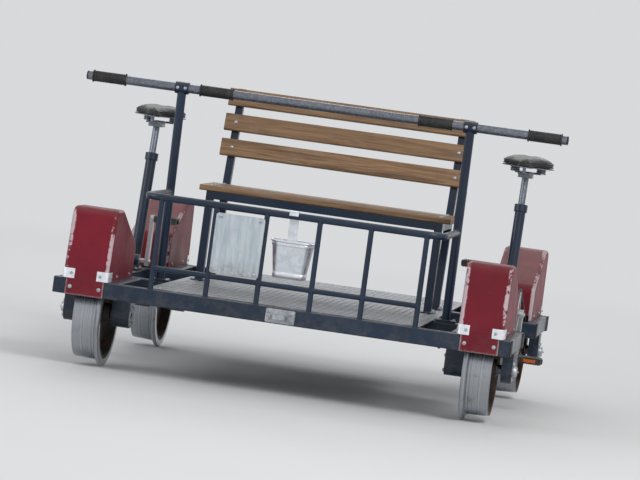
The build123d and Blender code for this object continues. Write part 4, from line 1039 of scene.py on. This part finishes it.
# Far from the car the floor turns into the backdrop's own colour, so that no horizon shows
backdrop, backdrop_seen, backdrop_light = (0.80, 0.81, 0.83, 1), 0.86, 0.55
ground = Nodes("studio_floor")
pale = ground.mix(ground.noise(0.7, 3), (0.74, 0.75, 0.76), (0.79, 0.795, 0.8))
ground.finish(Base_Color=pale, Roughness=0.8)
far = ground.ramp(ground.add("VectorMath", {0: ground.place}, "Value", operation="LENGTH"), 3.0, 9.0)
glow = ground.add("Emission", {"Color": backdrop, "Strength": backdrop_seen})
share = ground.math("MULTIPLY", far, background_rays(ground.tree))
blended = ground.add("MixShader", {0: share, 1: ground.shader.outputs[0], 2: glow})
ground.put(ground.tree.get_output_node("ALL").inputs["Surface"], blended)
floor_data.materials.append(ground.material)

world = bpy.data.worlds.new("studio")
bpy.context.scene.world = world
world.use_nodes = True
sky = world.node_tree
sky.nodes.clear()
background, sky_output, strength = [
    sky.nodes.new("ShaderNode" + kind) for kind in ("Background", "OutputWorld", "MapRange")
]
sky.links.new(background.outputs[0], sky_output.inputs[0])
background.inputs["Color"].default_value = backdrop
strength.inputs["To Min"].default_value = backdrop_light
strength.inputs["To Max"].default_value = backdrop_seen
sky.links.new(background_rays(sky), strength.inputs["Value"])
sky.links.new(strength.outputs[0], background.inputs["Strength"])


# Lights
def lamp(name, place, target, size, power, colour=(1, 1, 1)):
    """Soft rectangular lamp turned to a target. Power is in watts."""
    data = bpy.data.lights.new(name, "AREA")
    data.shape = "RECTANGLE"
    data.size, data.size_y = size
    data.energy = power
    data.color = colour
    made = linked(name, data)
    made.location = place
    made.rotation_euler = (Vector(target) - Vector(place)).to_track_quat("-Z", "Y").to_euler()


lamp("key_light", (4.5, -6.0, 6.0), (0, 0, 0.5), (4, 3), 340, (1, 0.98, 0.95))
lamp("fill_light", (-6.0, -3.5, 3.0), (0, 0, 0.5), (4, 4), 110, (0.94, 0.97, 1))
lamp("rim_light", (-1.0, 6.5, 5.0), (0, 0, 0.6), (6, 3), 140)

# Camera at the photograph's angle, rolled as the car leans there
azimuth, elevation, distance, roll, lens = radians(7.5), radians(3), 15.0, radians(7.7), 215
target = Vector((-0.007, 0, 0.56))
away = Vector((sin(azimuth) * cos(elevation), -cos(azimuth) * cos(elevation), sin(elevation)))
camera_data = bpy.data.cameras.new("photo_camera")
camera = linked("photo_camera", camera_data)
camera.location = target + away * distance
facing = away.to_track_quat("Z", "Y").to_matrix()
camera.rotation_euler = (facing @ Matrix.Rotation(roll, 3, "Z")).to_euler()
camera_data.lens = lens
camera_data.clip_end = 300
bpy.context.scene.camera = camera
bpy.context.scene.view_settings.view_transform = "Standard"
